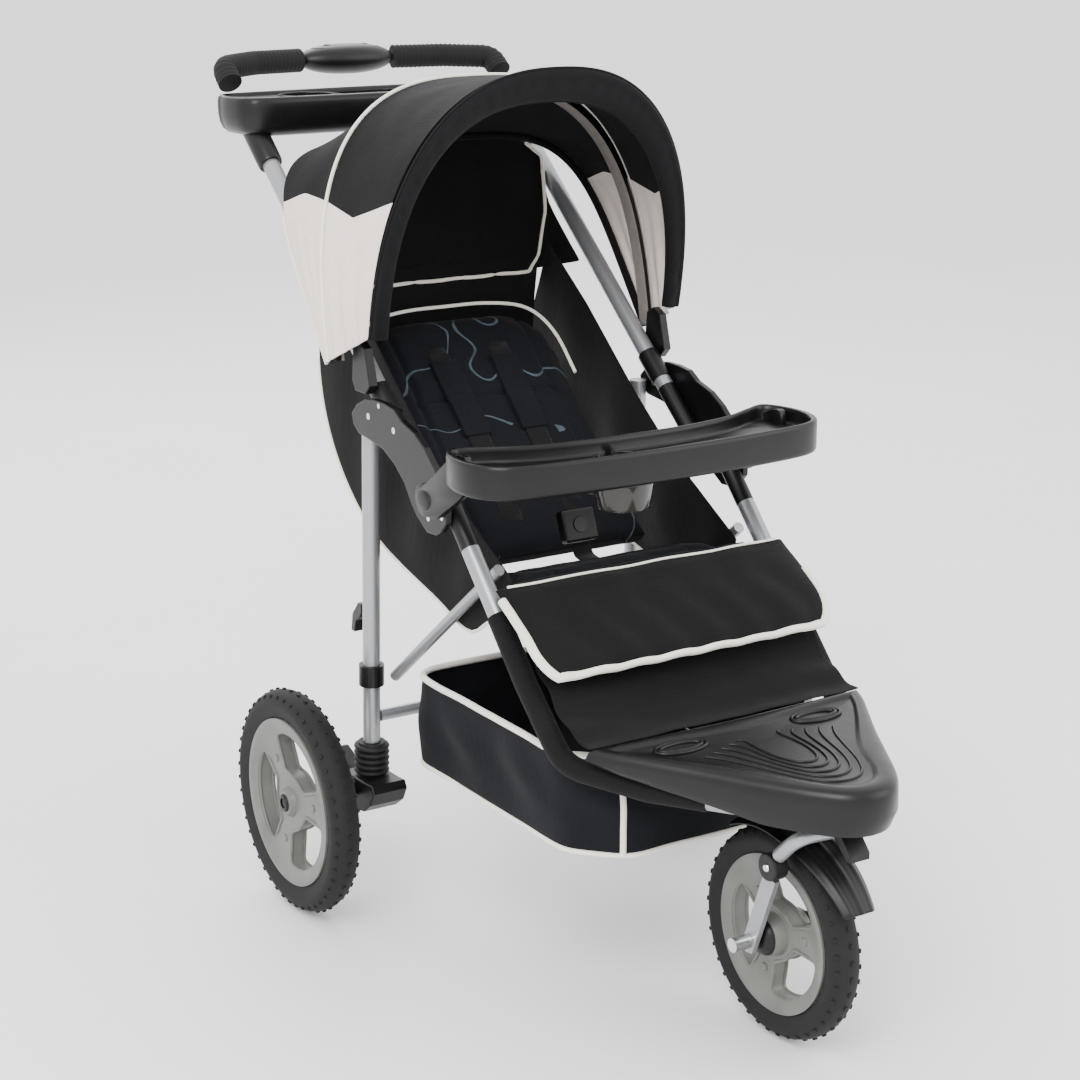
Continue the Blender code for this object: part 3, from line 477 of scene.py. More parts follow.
def merge(name, objects):
    """One mesh object out of several objects, modifiers applied."""
    depsgraph = bpy.context.evaluated_depsgraph_get()
    depsgraph.update()
    bm = bmesh.new()
    mats = []
    for obj in objects:
        mesh = bpy.data.meshes.new_from_object(obj.evaluated_get(depsgraph))
        mesh.transform(obj.matrix_world)
        remap = []
        for mat in obj.data.materials:
            if mat not in mats:
                mats.append(mat)
            remap.append(mats.index(mat))
        for polygon in mesh.polygons:
            polygon.material_index = remap[polygon.material_index] if remap else 0
        bm.from_mesh(mesh)
        bpy.data.meshes.remove(mesh)
        bpy.data.objects.remove(obj)
    out = bpy.data.meshes.new(name)
    bm.to_mesh(out)
    bm.free()
    for mat in mats:
        out.materials.append(mat)
    obj = bpy.data.objects.new(name, out)
    bpy.context.scene.collection.objects.link(obj)
    shade(out)
    return obj


def dress(obj, body, slot, *nodes):
    """Puts a piece on its body and hides the CAD nodes it stands for; slot is not used."""
    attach(obj, body)
    if nodes:
        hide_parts(*nodes)
    return obj


def cloth(name, rows, *mats, thick=0.0014, index=None):
    """Closed thin sheet from rows of points, with index(row, column) as the face's material."""
    cols = len(rows[0])
    indices = None
    if index:
        indices = [index(r, c) for r in range(len(rows) - 1) for c in range(cols - 1)]
    obj = solid(name, [v for row in rows for v in row], grid_faces(len(rows), cols), *mats,
                angle=80.0, indices=indices)
    thicken(obj, thick)
    subdivide(obj)
    apply_modifiers(obj)
    return obj


def thicken(obj, thick, offset=0.0):
    solidify = obj.modifiers.new("Solidify", "SOLIDIFY")
    solidify.thickness = thick
    solidify.offset = offset


def subdivide(obj):
    smooth = obj.modifiers.new("Subdivision", "SUBSURF")
    smooth.levels = smooth.render_levels = 1


def ripple(point, size, depth, seed=0.0):
    """Smooth repeatable noise for folds in cloth."""
    return depth * noise.noise(Vector(point) / size + Vector((seed, seed * 1.7, 0.0)))


def inflate(obj, reach, pressure=4.0, voxel=0.006):
    """Puffs a closed pad up with a cloth simulation, no point moving further than reach."""
    bpy.context.view_layer.objects.active = obj
    remesh = obj.modifiers.new("Remesh", "REMESH")
    remesh.mode = "VOXEL"
    remesh.voxel_size = voxel
    apply_modifiers(obj)
    rest = [v.co.copy() for v in obj.data.vertices]
    cloth_mod = obj.modifiers.new("Cloth", "CLOTH")
    settings = cloth_mod.settings
    settings.use_pressure = True
    settings.uniform_pressure_force = pressure
    settings.effector_weights.gravity = 0.0
    settings.quality = 4
    for number in range(1, PUFF_FRAMES + 1):
        bpy.context.scene.frame_set(number)
    apply_modifiers(obj)
    bpy.context.scene.frame_set(1)
    for vertex, start in zip(obj.data.vertices, rest):
        move = vertex.co - start
        if move.length > reach:
            vertex.co = start + move.normalized() * reach
    smooth = obj.modifiers.new("Smooth", "SMOOTH")
    smooth.factor = 0.5
    smooth.iterations = 4
    subdivide(obj)
    apply_modifiers(obj)
    shade(obj.data, 80.0)


def apply_modifiers(obj):
    depsgraph = bpy.context.evaluated_depsgraph_get()
    depsgraph.update()
    mesh = bpy.data.meshes.new_from_object(obj.evaluated_get(depsgraph))
    obj.modifiers.clear()
    obj.data = mesh


def piping(name, path, radius, body):
    dress(pipe(name, path, radius, "piping"), body, "cream_binding")


def carry(node, slot, edge=0.0):
    """Keeps a CAD node, with a detailed material and finely rounded edges."""
    obj = NODES[node]
    show(obj, slot)
    shade(obj.data)
    if edge:
        soften(obj, edge)


# ---- frame --------------------------------------------------------------------------------
def front_frame():
    right = [(-TUBE_X, -0.003, 0.5988), (-TUBE_X, -0.186, 0.4012), (-0.202, -0.262, 0.325),
             (-0.147, -0.35, 0.3125), (-0.066, -0.47, 0.3125)]
    path = [at(*p) for p in right] + [at(-x, y, z) for x, y, z in reversed(right)]
    dress(pipe("front_tube", round_corners(path, 0.06), TUBE_R, "silver_paint", sides=10),
          "front_frame", "silver_paint", "lower_frame_tube")
    for side, tag, _ in SIDES:
        x = side * TUBE_X
        socket = pipe("front_tube_socket_" + tag, [at(x, 0.0005, 0.6026), at(x, -0.062, 0.5351)],
                      TUBE_R + 0.0003, "black_plastic", sides=10)
        dress(socket, "front_frame", "black_plastic")
        sleeve = round_corners([at(x, -0.124, 0.4682), at(x, -0.186, 0.4012),
                                at(side * 0.202, -0.262, 0.325),
                                at(side * 0.147, -0.35, 0.3125), at(side * 0.1065, -0.41, 0.3125)],
                                0.06)
        dress(pipe("tube_sleeve_" + tag, sleeve, 0.0136, "lower_fabric", sides=8), "front_frame",
              "black_fabric")
    carry("steering_head", "silver_paint", 0.001)


def leg_point(x, distance):
    """Point on a rear leg's middle line, at a distance down it."""
    axis = (Vector((0, *LEG_FOOT)) - Vector((0, *LEG_TOP))).normalized()
    return at(*(Vector((x, *LEG_TOP)) + axis * distance))


def leg_matrix(x, distance):
    """Place on a rear leg, its local Z pointing up along the leg."""
    tilt = math.atan2(LEG_FOOT[0] - LEG_TOP[0], LEG_TOP[1] - LEG_FOOT[1])
    return Matrix.Translation(leg_point(x, distance)) @ Matrix.Rotation(tilt, 4, "X")


def rear_frame():
    for side, tag, _ in SIDES:
        x = side * TUBE_X
        dress(pipe("leg_" + tag, [leg_point(x, -0.0085), leg_point(x, 0.4331)], TUBE_R, "silver_paint",
                   sides=10),
              "rear_frame", "silver_paint", "rear_leg_" + tag)
        carry("leg_clamp_" + tag, "black_plastic", 0.0008)
        strut = pipe("brace_tube_" + tag,
                     [at(side * 0.179, -0.084, 0.511), at(side * 0.179, 0.176, 0.303)],
                     0.0072, "silver_paint", sides=8)
        dress(strut, "brace_" + ("right" if side < 0 else "left"), "silver_paint", "brace_" + tag)
    bar = [leg_point(-0.193, 0.4), leg_point(0.193, 0.4)]
    dress(pipe("cross_tube", bar, 0.008, "silver_paint", sides=8), "rear_frame", "silver_paint",
          "rear_crossbar")
    carry("fold_latch", "charcoal_plastic", 0.0008)


def suspension():
    ribs = [(0.0, 0.022), (0.0178, 0.022)]
    for k in range(5):
        z = 0.019 - k * 0.0084
        ribs += [(0.0185, z), (0.0225, z - 0.0012), (0.0235, z - 0.0032), (0.0225, z - 0.005),
                 (0.0188, z - 0.0064)]
    ribs += [(0.0185, -0.0225), (0.0, -0.0225)]
    for side, tag, word in SIDES:
        middle = leg_matrix(side * TUBE_X, 0.4555)
        boot = turned("bellows_" + tag, ribs, 48, middle, "boot_rubber", angle=60.0)
        dress(boot, "suspension_" + word, "boot_rubber", "suspension_boot_" + tag)
        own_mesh(boot)
        carry("suspension_housing_" + tag, "black_plastic", 0.0015)
        carry("brake_pedal_" + tag, "charcoal_plastic", 0.0012)


def handle_frame():
    run = Vector((0, HANDLE_END[0] - HANDLE_FOOT[0], HANDLE_END[1] - HANDLE_FOOT[1])).normalized()
    for side, tag, _ in SIDES:
        x = side * TUBE_X
        foot, end = at(x, *HANDLE_FOOT), at(x, *HANDLE_END)
        tube = pipe("handle_tube_" + tag + "_painted", [foot, end], TUBE_R, "silver_paint", sides=10)
        dress(tube, "handle_frame", "silver_paint", "handle_tube_" + tag)
        sleeves = [pipe("sleeve", [foot + run * start, foot + run * stop], TUBE_R + grow,
                        "black_plastic", sides=10)
                   for start, stop, grow in ((-0.002, 0.07, 0.0003), (0.084, 0.128, 0.0025))]
        dress(merge("tube_sleeves_" + tag, sleeves), "handle_frame", "black_plastic")
        bracket(side, tag)
        carry("canopy_pivot_" + tag, "black_plastic", 0.0012)
        grip(side, tag)
    parent_tray(run)
    console()


def parent_tray(run):
    """Rounded tray between the handle tubes, with two cup wells, a pocket and tube sockets."""
    half = [(0.236, 0.49), (0.236, 0.525), (0.222, 0.546), (0.12, 0.556), (0.0, 0.56)]
    front = [(0.0, 0.445), (0.13, 0.448), (0.205, 0.452), (0.228, 0.466)]
    outline = tray_ring(half, front)
    levels = [(0.023, 0.9762), (0.013, 0.9785), (0.006, 0.984), (0.0022, 0.992), (0.0004, 1.002),
              (0.0, 1.012), (0.0, 1.02), (0.0012, 1.025), (0.004, 1.0275), (0.008, 1.0282),
              (0.011, 1.027), (0.013, 1.024)]
    body = loft("body", [tray_section(outline, 0.504, inset, z) for inset, z in levels],
                "charcoal_plastic")
    well = [(0.0, 0.986), (0.036, 0.986), (0.036, 1.06), (0.0, 1.06)]
    wells = [Matrix.Translation(at(x, 0.5, 0)) for x in (-0.12, 0.12)]
    for place in wells:
        carve(body, turned("cut", well, 64, place, "charcoal_plastic"))
    pocket = curve_through([Vector((x, y, 0)) for x, y in (
        (-0.066, 0.476), (-0.06, 0.469), (0.06, 0.469), (0.066, 0.476), (0.066, 0.526), (0.06, 0.533),
        (-0.06, 0.533), (-0.066, 0.526))], 4, closed=True)
    carve(body, loft("cut", [[at(p.x, p.y, z) for p in pocket] for z in (0.998, 1.06)],
                     "charcoal_plastic"))
    parts = [body]
    parts += [oval("lip", place, (0.0375, 0.0375), 1.0242, 0.002, "charcoal_plastic")
              for place in wells]
    for side, tag, _ in SIDES:
        end = at(side * TUBE_X, *HANDLE_END)
        boss = [(TUBE_R + 0.0004, -0.055), (0.0155, -0.055), (0.0165, -0.052), (0.0168, 0.02),
                (0.015, 0.028), (0.0, 0.03)]
        turn = Matrix.Translation(end) @ run.to_track_quat("Z", "Y").to_matrix().to_4x4()
        parts.append(turned("boss", boss, 40, turn, "charcoal_plastic"))
    dress(merge("parent_console_tray", parts), "handle_frame", "charcoal_plastic", "parent_tray")


def tray_ring(far, near):
    """Smooth closed outline from the two edges of a tray's +X half."""
    ring = mirror_outline(far) + [Vector((x, y, 0)) for x, y in reversed(near)]
    return curve_through(ring + [Vector((-x, y, 0)) for x, y in near[1:]], 7, closed=True)


def tray_section(outline, middle, inset, z):
    """Outline moved in towards the tray's long middle line, at height z."""
    moved = [p - Vector((p.x * 0.25, p.y - middle, 0)).normalized() * inset for p in outline]
    return [at(q.x, q.y, z) for q in moved]


def carve(obj, cutter):
    boolean = obj.modifiers.new("Carve", "BOOLEAN")
    boolean.operation = "DIFFERENCE"
    boolean.object = cutter
    apply_modifiers(obj)
    bpy.data.objects.remove(cutter)


def bracket(side, tag):
    carry("hinge_bracket_" + tag, "charcoal_plastic", 0.0008)
    face = side * 0.2256
    rivets = []
    for y, z, radius in ((0.149, 0.66, 0.0034), (0.085, 0.654, 0.0034), (0.002, 0.562, 0.003),
                         (-0.03, 0.57, 0.003), (0.122, 0.678, 0.0026)):
        dome = [(0.0, 0.0016), (radius * 0.6, 0.0013), (radius, 0.0004), (radius * 1.25, 0.0003),
                (radius * 1.25, -0.001)]
        rivets.append(turned("rivet", dome, 20, facing(side, face, (y, z)), "steel", angle=70.0))
    dress(merge("bracket_rivets_" + tag, rivets), "handle_frame", "steel")


def grip(side, tag):
    path = round_corners([at(side * 0.212, 0.5455, 1.041), at(side * 0.211, 0.568, 1.06),
                          at(side * 0.15, 0.602, 1.062), at(side * 0.0745, 0.614, 1.062)], 0.05, 14)
    fine = [path[0]]
    for a, b in zip(path, path[1:]):
        steps = max(1, round((b - a).length / 0.0014))
        fine += [a.lerp(b, (k + 1) / steps) for k in range(steps)]
    rings = []
    length = 0.0
    last = fine[0]
    for p, s, u in frames_along(fine, Vector((0, 0, 1))):
        length += (p - last).length
        last = p
        radius = 0.016 + 0.0005 * math.cos(2 * math.pi * length / 0.0066)
        rings.append([p + (s * math.cos(a) + u * math.sin(a)) * radius
                      for a in circle_angles(24)])
    dress(loft("foam_grip_" + tag, rings, "grip_foam", angle=70.0), "handle_frame", "grip_foam", "grip_"
          + tag)


def console():
    """Oval middle of the handle, with a raised rim, two plain buttons and a blank dial."""
    middle = Matrix.Translation(at(0, 0.615, 1.062))
    profile = []
    for i in range(25):
        a = math.pi * i / 24
        profile.append((math.sin(a) ** 0.85, math.cos(a)))
    shell = middle @ Matrix.Diagonal((0.0738, 0.034, 0.021, 1))
    body = turned("shell", profile, 64, shell, "black_plastic", angle=80.0)
    lip = oval("lip", middle, (0.052, 0.022), 0.015, 0.0014, "charcoal_plastic", sides=4)
    parts = [body, lip]
    for x in (-0.028, 0.0, 0.028):
        dome = [(0.0, 0.0035), (0.006, 0.0028), (0.0075, 0.0), (0.0078, -0.004)]
        parts.append(turned("button", dome, 28, middle @ Matrix.Translation((x, 0, 0.0175)),
                            "charcoal_plastic"))
    dress(merge("console", parts), "handle_frame", "black_plastic", "handle_console")


# ---- wheels ---------------------------------------------------------------------------------
def tyre(name, x, center, radius, rim_radius, half, knobs, body, node):
    """Rubber section with three rows of tread blocks."""
    depth = radius - rim_radius
    crown = 0.0022

    def surface(angle):
        return radius - crown - depth * 0.55 * (1 - math.cos(angle) ** 0.8)

    profile = []
    for i in range(17):
        a = math.radians(-84 + 168 * i / 16)
        profile.append((surface(a), half * math.sin(a) / 0.995))
    profile += [(rim_radius + 0.001, half * 0.7), (rim_radius + 0.001, -half * 0.7)]
    place = along_x(x, center)
    base = turned("base", profile, 96, place, "tyre_rubber", closed=True, angle=60.0)
    blocks = []
    for k in range(knobs):
        for row, shift in ((-1, 0.0), (0, 0.5), (1, 0.0)):
            turn = 2 * math.pi * (k + shift) / knobs
            lean = math.radians(52) * row
            spot = Matrix.Translation((surface(lean) - 0.0006, 0, half * math.sin(lean)))
            size = (0.0052, 0.0062, 0.004) if row == 0 else (0.0046, 0.005, 0.005)
            local = Matrix.Rotation(turn, 4, "Z") @ spot @ Matrix.Rotation(-lean * 0.9, 4, "Y")
            blocks.append((place @ local, size))
    verts, faces = [], []
    for matrix, (out, across, along) in blocks:
        start = len(verts)
        for dx, taper in ((-0.004, 1.0), (out * 0.5, 0.82)):
            for dy, dz in ((-1, -1), (1, -1), (1, 1), (-1, 1)):
                verts.append(matrix @ Vector((dx, dy * across * 0.5 * taper, dz * along * 0.5 * taper)))
        faces += [tuple(start + i for i in quad) for quad in
                  ((0, 1, 2, 3), (4, 5, 6, 7), (0, 1, 5, 4), (1, 2, 6, 5), (2, 3, 7, 6), (3, 0, 4, 7))]
    tread = solid("tread", verts, faces, "tyre_rubber")
    dress(merge(name, [base, tread]), body, "tyre_rubber", node)


def kidney(radius, inner, spread, angle):
    """Rounded opening between two spokes, in the wheel's own plane."""
    pts = []
    for k in range(25):
        a = -1 + 2 * k / 24
        r = radius * (0.86 + 0.14 * (1 - abs(a) ** 3.0) ** 0.5)
        pts.append((r, angle + spread * math.sin(a * math.pi / 2)))
    for k in range(24, -1, -1):
        a = -1 + 2 * k / 24
        r = inner * (1.45 - 0.45 * (1 - abs(a) ** 2.4) ** 0.5)
        pts.append((r, angle + spread * 0.94 * math.sin(a * math.pi / 2)))
    return [(r * math.cos(a), r * math.sin(a)) for r, a in pts]


def wheel_rim(name, x, center, r, hub, bore, ends, body, node, cap):
    """Moulded rim: dished web with three kidney openings, each with a raised lip."""
    low, high = ends
    profile = [(bore, high), (hub - 0.002, high), (hub, high - 0.002), (hub * 1.18, 0.0115),
               (r * 0.36, 0.01), (r * 0.6, 0.0095), (r * 0.82, 0.0125), (r * 0.9, 0.016),
               (r * 0.96, 0.0172), (r, 0.0165), (r, -0.0165), (r * 0.96, -0.0172), (r * 0.9, -0.0158),
               (r * 0.82, -0.012), (r * 0.6, -0.009), (r * 0.36, -0.0095), (hub * 1.18, -0.011),
               (hub, low + 0.002), (hub - 0.002, low), (bore, low)]
    place = along_x(x, center)
    web = turned("web", profile, 120, place, "rim_plastic", closed=True)
    lips = []
    for k in range(3):
        outline = kidney(r * 0.83, r * 0.34, math.radians(44), math.radians(80) + k * 2 * math.pi / 3)
        verts = [place @ Vector((u, v, w)) for w in (-0.05, 0.05) for u, v in outline]
        carve(web, solid("cut", verts, prism_faces(len(outline)), "rim_plastic"))
        for height in (0.01, -0.0095):
            path = [place @ Vector((u * 1.004, v * 1.004, height)) for u, v in outline]
            lips.append(pipe("lip", path, 0.0021, "rim_plastic", closed=True, sides=3))
    parts = [web] + lips
    for k in range(3):
        turn = Matrix.Rotation(math.radians(140) + k * 2 * math.pi / 3, 4, "Z")
        for height, way in ((0.0105, 1), (-0.01, -1)):
            stud = [(0.0, 0.0012), (0.004, 0.0012), (0.0052, 0.0), (0.0052, -0.002)]
            spot = flipped(place @ turn @ Matrix.Translation((r * 0.56, 0, height)), way)
            parts.append(turned("stud", stud, 20, spot, "rim_plastic"))
    obj = merge(name, parts)
    dress(obj, body, "rim_plastic", node)
    for end, way in ((high, 1), (low, -1)):
        top = flipped(place @ Matrix.Translation((0, 0, end)), way)
        cap_name = name + "_cap_" + ("out" if way > 0 else "in")
        dress(turned(cap_name, cap, 40, top, "black_plastic", angle=60.0), body, "black_plastic")


def wheels():
    small = [(0.0066, 0.0), (0.0068, 0.003), (0.0105, 0.003), (0.0115, 0.0015), (0.0118, -0.001)]
    for side, tag, word in SIDES:
        x = side * 0.312
        body = "rear_wheel_" + word
        tyre("rear_tyre_" + tag + "_treaded", x, REAR_AXLE, 0.149, 0.1105, 0.02, 46, body, "rear_tyre_"
             + tag)
        ends = (-0.0235, 0.019) if side > 0 else (-0.019, 0.0235)
        wheel_rim("rear_rim_" + tag + "_moulded", x, REAR_AXLE, 0.1108, 0.017, 0.0064, ends, body,
                  "rear_rim_" + tag, small)
    dome = [(0.0056, 0.0), (0.0056, 0.006), (0.012, 0.006), (0.0185, 0.0035), (0.0222, -0.002),
            (0.0235, -0.012), (0.024, -0.02)]
    tyre("front_tyre_treaded", 0.0, FRONT_AXLE, 0.1287, 0.095, 0.02, 40, "front_wheel", "front_tyre")
    wheel_rim("front_rim_moulded", 0.0, FRONT_AXLE, 0.0953, 0.022, 0.0053, (-0.03, 0.03), "front_wheel",
              "front_rim", dome)


def fork():
    ky, kz = KNUCKLE
    half = [(-0.0465, ky - 0.009, kz + 0.0155), (-0.0465, -0.496, 0.284), (0.0, -0.508, 0.2872)]
    path = [at(*p) for p in half] + [at(-x, y, z) for x, y, z in reversed(half[:-1])]
    dress(pipe("fork_arch", round_corners(path, 0.035, 10), 0.0085, "silver_paint", sides=8), "fork",
          "silver_paint",
          "fork_arms")
    for side, tag, _ in SIDES:
        carry("fork_blade_" + tag, "silver_paint", 0.0008)
        carry("fork_knuckle_" + tag, "black_plastic", 0.0012)
        bolt = [(0.0, 0.0022), (0.0035, 0.0022), (0.0048, 0.0006), (0.0048, -0.001)]
        place = facing(side, side * 0.057, KNUCKLE)
        dress(turned("knuckle_bolt_" + tag, bolt, 20, place, "steel"), "fork", "steel")
    carry("front_axle", "steel", 0.0006)
    carry("swivel_lock", "black_plastic", 0.001)
    mudguard()


def mudguard():
    rows = []
    for i in range(41):
        deg = 152 - 90 * i / 40
        a = math.radians(deg)
        flare = max(0.0, (deg - 100) / 52)
        row = []
        for k in range(25):
            u = -1 + k / 12
            fade = min(1.0, max(0.0, (deg - 96) / 18))
            rib = 0.0016 * max(0.0, math.cos(u * 3 * math.pi)) ** 2 * fade
            r = 0.139 + 0.02 * flare ** 1.4 - 0.006 * abs(u) ** 3 + rib
            w = 0.033 * (1 - 0.35 * flare ** 2)
            row.append(at(u * w, FRONT_AXLE[0] + r * math.cos(a), FRONT_AXLE[1] + r * math.sin(a)))
        rows.append(row)
    obj = cloth("ribbed_mudguard", rows, "black_plastic", thick=0.0028)
    dress(obj, "fork", "black_plastic", "mudguard")


# ---- soft goods -----------------------------------------------------------------------------
def arch(name, grow=0.0, ahead=0.0, count=120):
    """Evenly spaced frame points on a canopy arch, grown all round and moved forward."""
    y, z, tilt, wide, tall, power = ARCHES[name]
    up = Vector((0, math.cos(math.radians(tilt)), math.sin(math.radians(tilt))))
    front = Vector((0, -up.z, up.y))
    fine = []
    for i in range(801):
        a = math.pi * i / 800
        c, s = math.cos(a), max(math.sin(a), 0.0)
        x = -(wide + grow) * math.copysign(abs(c) ** (2 / power), c)
        fine.append(at(x, y, z) + up * (tall + grow) * s ** (2 / power) + front * ahead)
    return evenly(fine, count)


def resample(points, shares):
    """Points at the given shares (rising) of a polyline's length."""
    lengths = [0.0]
    for p, q in zip(points, points[1:]):
        lengths.append(lengths[-1] + (q - p).length)
    out = []
    k = 0
    for share in shares:
        want = share * lengths[-1]
        while k < len(points) - 2 and lengths[k + 1] < want:
            k += 1
        t = (want - lengths[k]) / max(lengths[k + 1] - lengths[k], 1e-9)
        out.append(points[k].lerp(points[k + 1], min(max(t, 0.0), 1.0)))
    return out


def evenly(points, count):
    return resample(points, [i / count for i in range(count + 1)])


def side_path(pairs):
    """(y, z) pairs as points on x = 0."""
    return [Vector((0, *p)) for p in pairs]


def table(x, pairs):
    """Value at x of the straight lines through the (x, value) pairs."""
    for (a, fa), (b, fb) in zip(pairs, pairs[1:]):
        if x <= b:
            t = min(max((x - a) / (b - a), 0.0), 1.0)
            return fa + (fb - fa) * t
    return pairs[-1][1]


SEAM = [(0.08, 0.9375), (0.1761, 0.9017), (0.2388, 0.9168), (0.2988, 0.9192), (0.3506, 0.9047)]
CREAM_COLS = 16
TOP_COLS = 52


def canopy_row(points):
    """Points of one row, with a column exactly on the seam between light and dark cloth."""
    n = len(points) - 1
    above = [p.z - table(p.y - DATUM_Y, SEAM) for p in points]
    k = next(i for i in range(1, n) if above[i] > 0)
    seam = (k - above[k] / (above[k] - above[k - 1])) / n
    shares = [seam * i / CREAM_COLS for i in range(CREAM_COLS)]
    shares += [seam + (1 - 2 * seam) * i / TOP_COLS for i in range(TOP_COLS + 1)]
    shares += [1 - s for s in reversed(shares[:CREAM_COLS])]
    return resample(points, shares)


def canopy_panel(name, first, last, low, high, folds, seed):
    rows = []
    count = 36
    middle = at(0, 0.21, 0.8)
    for r in range(count + 1):
        t = r / count
        share = low + (high - low) * t
        row = canopy_row([a.lerp(b, share) for a, b in zip(first, last)])
        env = math.sin(math.pi * t) ** 0.6
        for c, p in enumerate(row):
            down = min(c, len(row) - 1 - c) / CREAM_COLS
            out = (p - middle).normalized()
            if down < 1:
                swing = math.sin(2 * math.pi * (folds * t + 0.25 * math.sin(2.4 * down)) + seed)
                lift = (0.0042 * swing * (1 - down) ** 0.5 * (0.35 + 0.65 * (1 - down))
                        + 0.003 * down) * env
            else:
                lift = -0.005 * env * min(1.0, (down - 1) * 1.5)
            row[c] = p + out * (lift + ripple(p, 0.045, 0.0016, seed) * env)
        rows.append(row)
    obj = cloth(name, rows, "canopy_fabric", "cream_fabric",
                index=lambda r, c: 0 if CREAM_COLS <= c < CREAM_COLS + TOP_COLS else 1)
    return obj


def canopy():
    bow, rear, outer, inner = arch("bow"), arch("rear"), arch("rim_outer"), arch("rim_inner")
    panel = canopy_panel("canopy_rear_cloth", rear, bow, 0.0, 0.985, 3.0, 1.0)
    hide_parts("canopy_rear_panel")
    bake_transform(panel)
    panel = canopy_panel("canopy_mid_cloth", bow, outer, 0.015, 0.96, 3.0, 4.0)
    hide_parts("canopy_mid_panel")
    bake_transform(panel)
    canopy_rim(outer, inner)
    curtain()
    carry("canopy_mid_bow", "black_plastic")
    piping("bow_piping", arch("bow", 0.0012), 0.0024, "canopy_middle")
    back = arch("rear", 0.001, -0.002)
    for tag, part in (("R", back[:26]), ("L", back[-26:])):
        piping("rear_edge_piping_" + tag, part, 0.0022, "handle_frame")
    tape = band("bow_lining_tape", arch("bow", -0.016, 0.0), Vector((0, -0.985, 0.17)), 0.022, 0.0012,
                "lining_tape")
    dress(tape, "canopy_middle", "canopy_fabric")
    hoop = pipe("rear_hoop_sleeve", arch("rear", -0.0062, 0.002), 0.0052, "canopy_fabric")
    dress(hoop, "handle_frame", "canopy_fabric")


def canopy_rim(outer, inner):
    """Stuffed ring round the canopy's mouth, gathered along its stitch line."""
    tilt = math.radians(ARCHES["rim_outer"][2])
    ahead = Vector((0, -math.sin(tilt), math.cos(tilt)))
    outer, inner = evenly(outer, 360), evenly(inner, 360)
    rings = []
    for i, (a, b) in enumerate(zip(outer, inner)):
        gather = 0.5 + 0.5 * math.sin(i * 0.61 + 2.0 * math.sin(i * 0.083))
        ring = []
        for k in range(28):
            w = 2 * math.pi * k / 28
            share = 0.5 + 0.5 * math.copysign(abs(math.cos(w)) ** 0.8, math.cos(w))
            rise = 0.002 + 0.0088 * math.copysign(abs(math.sin(w)) ** 0.75, math.sin(w))
            if math.sin(w) > 0:
                rise -= 0.0042 * math.exp(-((share - 0.3) / 0.05) ** 2)
                rise -= 0.0016 * gather * math.exp(-((share - 0.42) / 0.16) ** 2)
            p = a.lerp(b, share) + ahead * rise
            ring.append(p + ahead * ripple(p, 0.03, 0.0012, 7.0))
        rings.append(ring)
    obj = loft("canopy_padded_rim", rings, "canopy_fabric", angle=80.0)
    dress(obj, "canopy_rim", "canopy_fabric", "canopy_front_rim")
    for name, share, radius in (("rim_outer_edge", -0.02, 0.0018), ("rim_inner_edge", 1.01, 0.0016)):
        path = [a.lerp(b, share) + ahead * 0.002 for a, b in zip(outer, inner)]
        dress(pipe(name, path, radius, "canopy_fabric"), "canopy_rim", "canopy_fabric")


def curtain():
    widths = [(0.78, 0.15), (0.8, 0.168), (0.86, 0.186), (0.935, 0.186), (0.9635, 0.15), (0.972, 0.1)]
    rows = []
    for r in range(33):
        z = 0.78 + 0.192 * r / 32
        half = table(z, widths)
        row = []
        for c in range(49):
            u = -1 + c / 24
            y = 0.372 + (z - 0.78) * 0.15625
            sway = 0.0028 * math.sin(u * 14 + 1.5 * math.sin(z * 30)) * (1 - r / 32)
            row.append(at(u * half, y + sway + ripple((u, z, 0), 0.05, 0.0012), z))
        rows.append(row)
    obj = cloth("canopy_curtain", rows, "canopy_fabric")
    dress(obj, "handle_frame", "canopy_fabric")
    edge = [row[0] for row in reversed(rows[:30])] + rows[0][1:-1] + [row[-1] for row in rows[:30]]
    edge = [p + Vector((0, -0.003, 0)) for p in edge]
    piping("curtain_piping", edge, 0.0026, "handle_frame")
    lower = []
    for r in range(17):
        z = 0.69 + 0.11 * r / 16
        half = 0.15 + 0.018 * (z - 0.69) / 0.11
        y = 0.36 + (z - 0.69) * 0.12
        lower.append([at(half * (-1 + c / 24), y + ripple((c * 0.04, z, 5), 0.06, 0.002), z)
                      for c in range(49)])
    back = cloth("head_cloth", lower, "lower_fabric")
    dress(back, "handle_frame", "black_fabric")
    for side, tag, _ in SIDES:
        web = []
        for r in range(21):
            t = r / 20
            z = 0.782 + 0.15 * t
            a = at(side * table(z, widths) * 0.995, 0.3725 + (z - 0.78) * 0.15625, z)
            b = at(side * 0.19, 0.3 + 0.115 * t, 0.8 + 0.098 * t)
            web.append([a.lerp(b, c / 12) + Vector((side * 0.003 * math.sin(math.pi * c / 12), 0, 0))
                        for c in range(13)])
        piece = cloth("side_web_" + tag, web, "lower_fabric")
        dress(piece, "handle_frame", "black_fabric")


def mirrored(half):
    """(x, y) pairs of a half outline, then the same on the other side in reverse."""
    return half + [(-x, y) for x, y in reversed(half) if x]


def back_point(x, s, t):
    """Frame point on the backrest: s up it from its hinge, t forward from it."""
    y = SEAT_A[0] + math.cos(RECLINE) * s - math.sin(RECLINE) * t
    z = SEAT_A[1] + math.sin(RECLINE) * s + math.cos(RECLINE) * t
    return at(x, y, z)


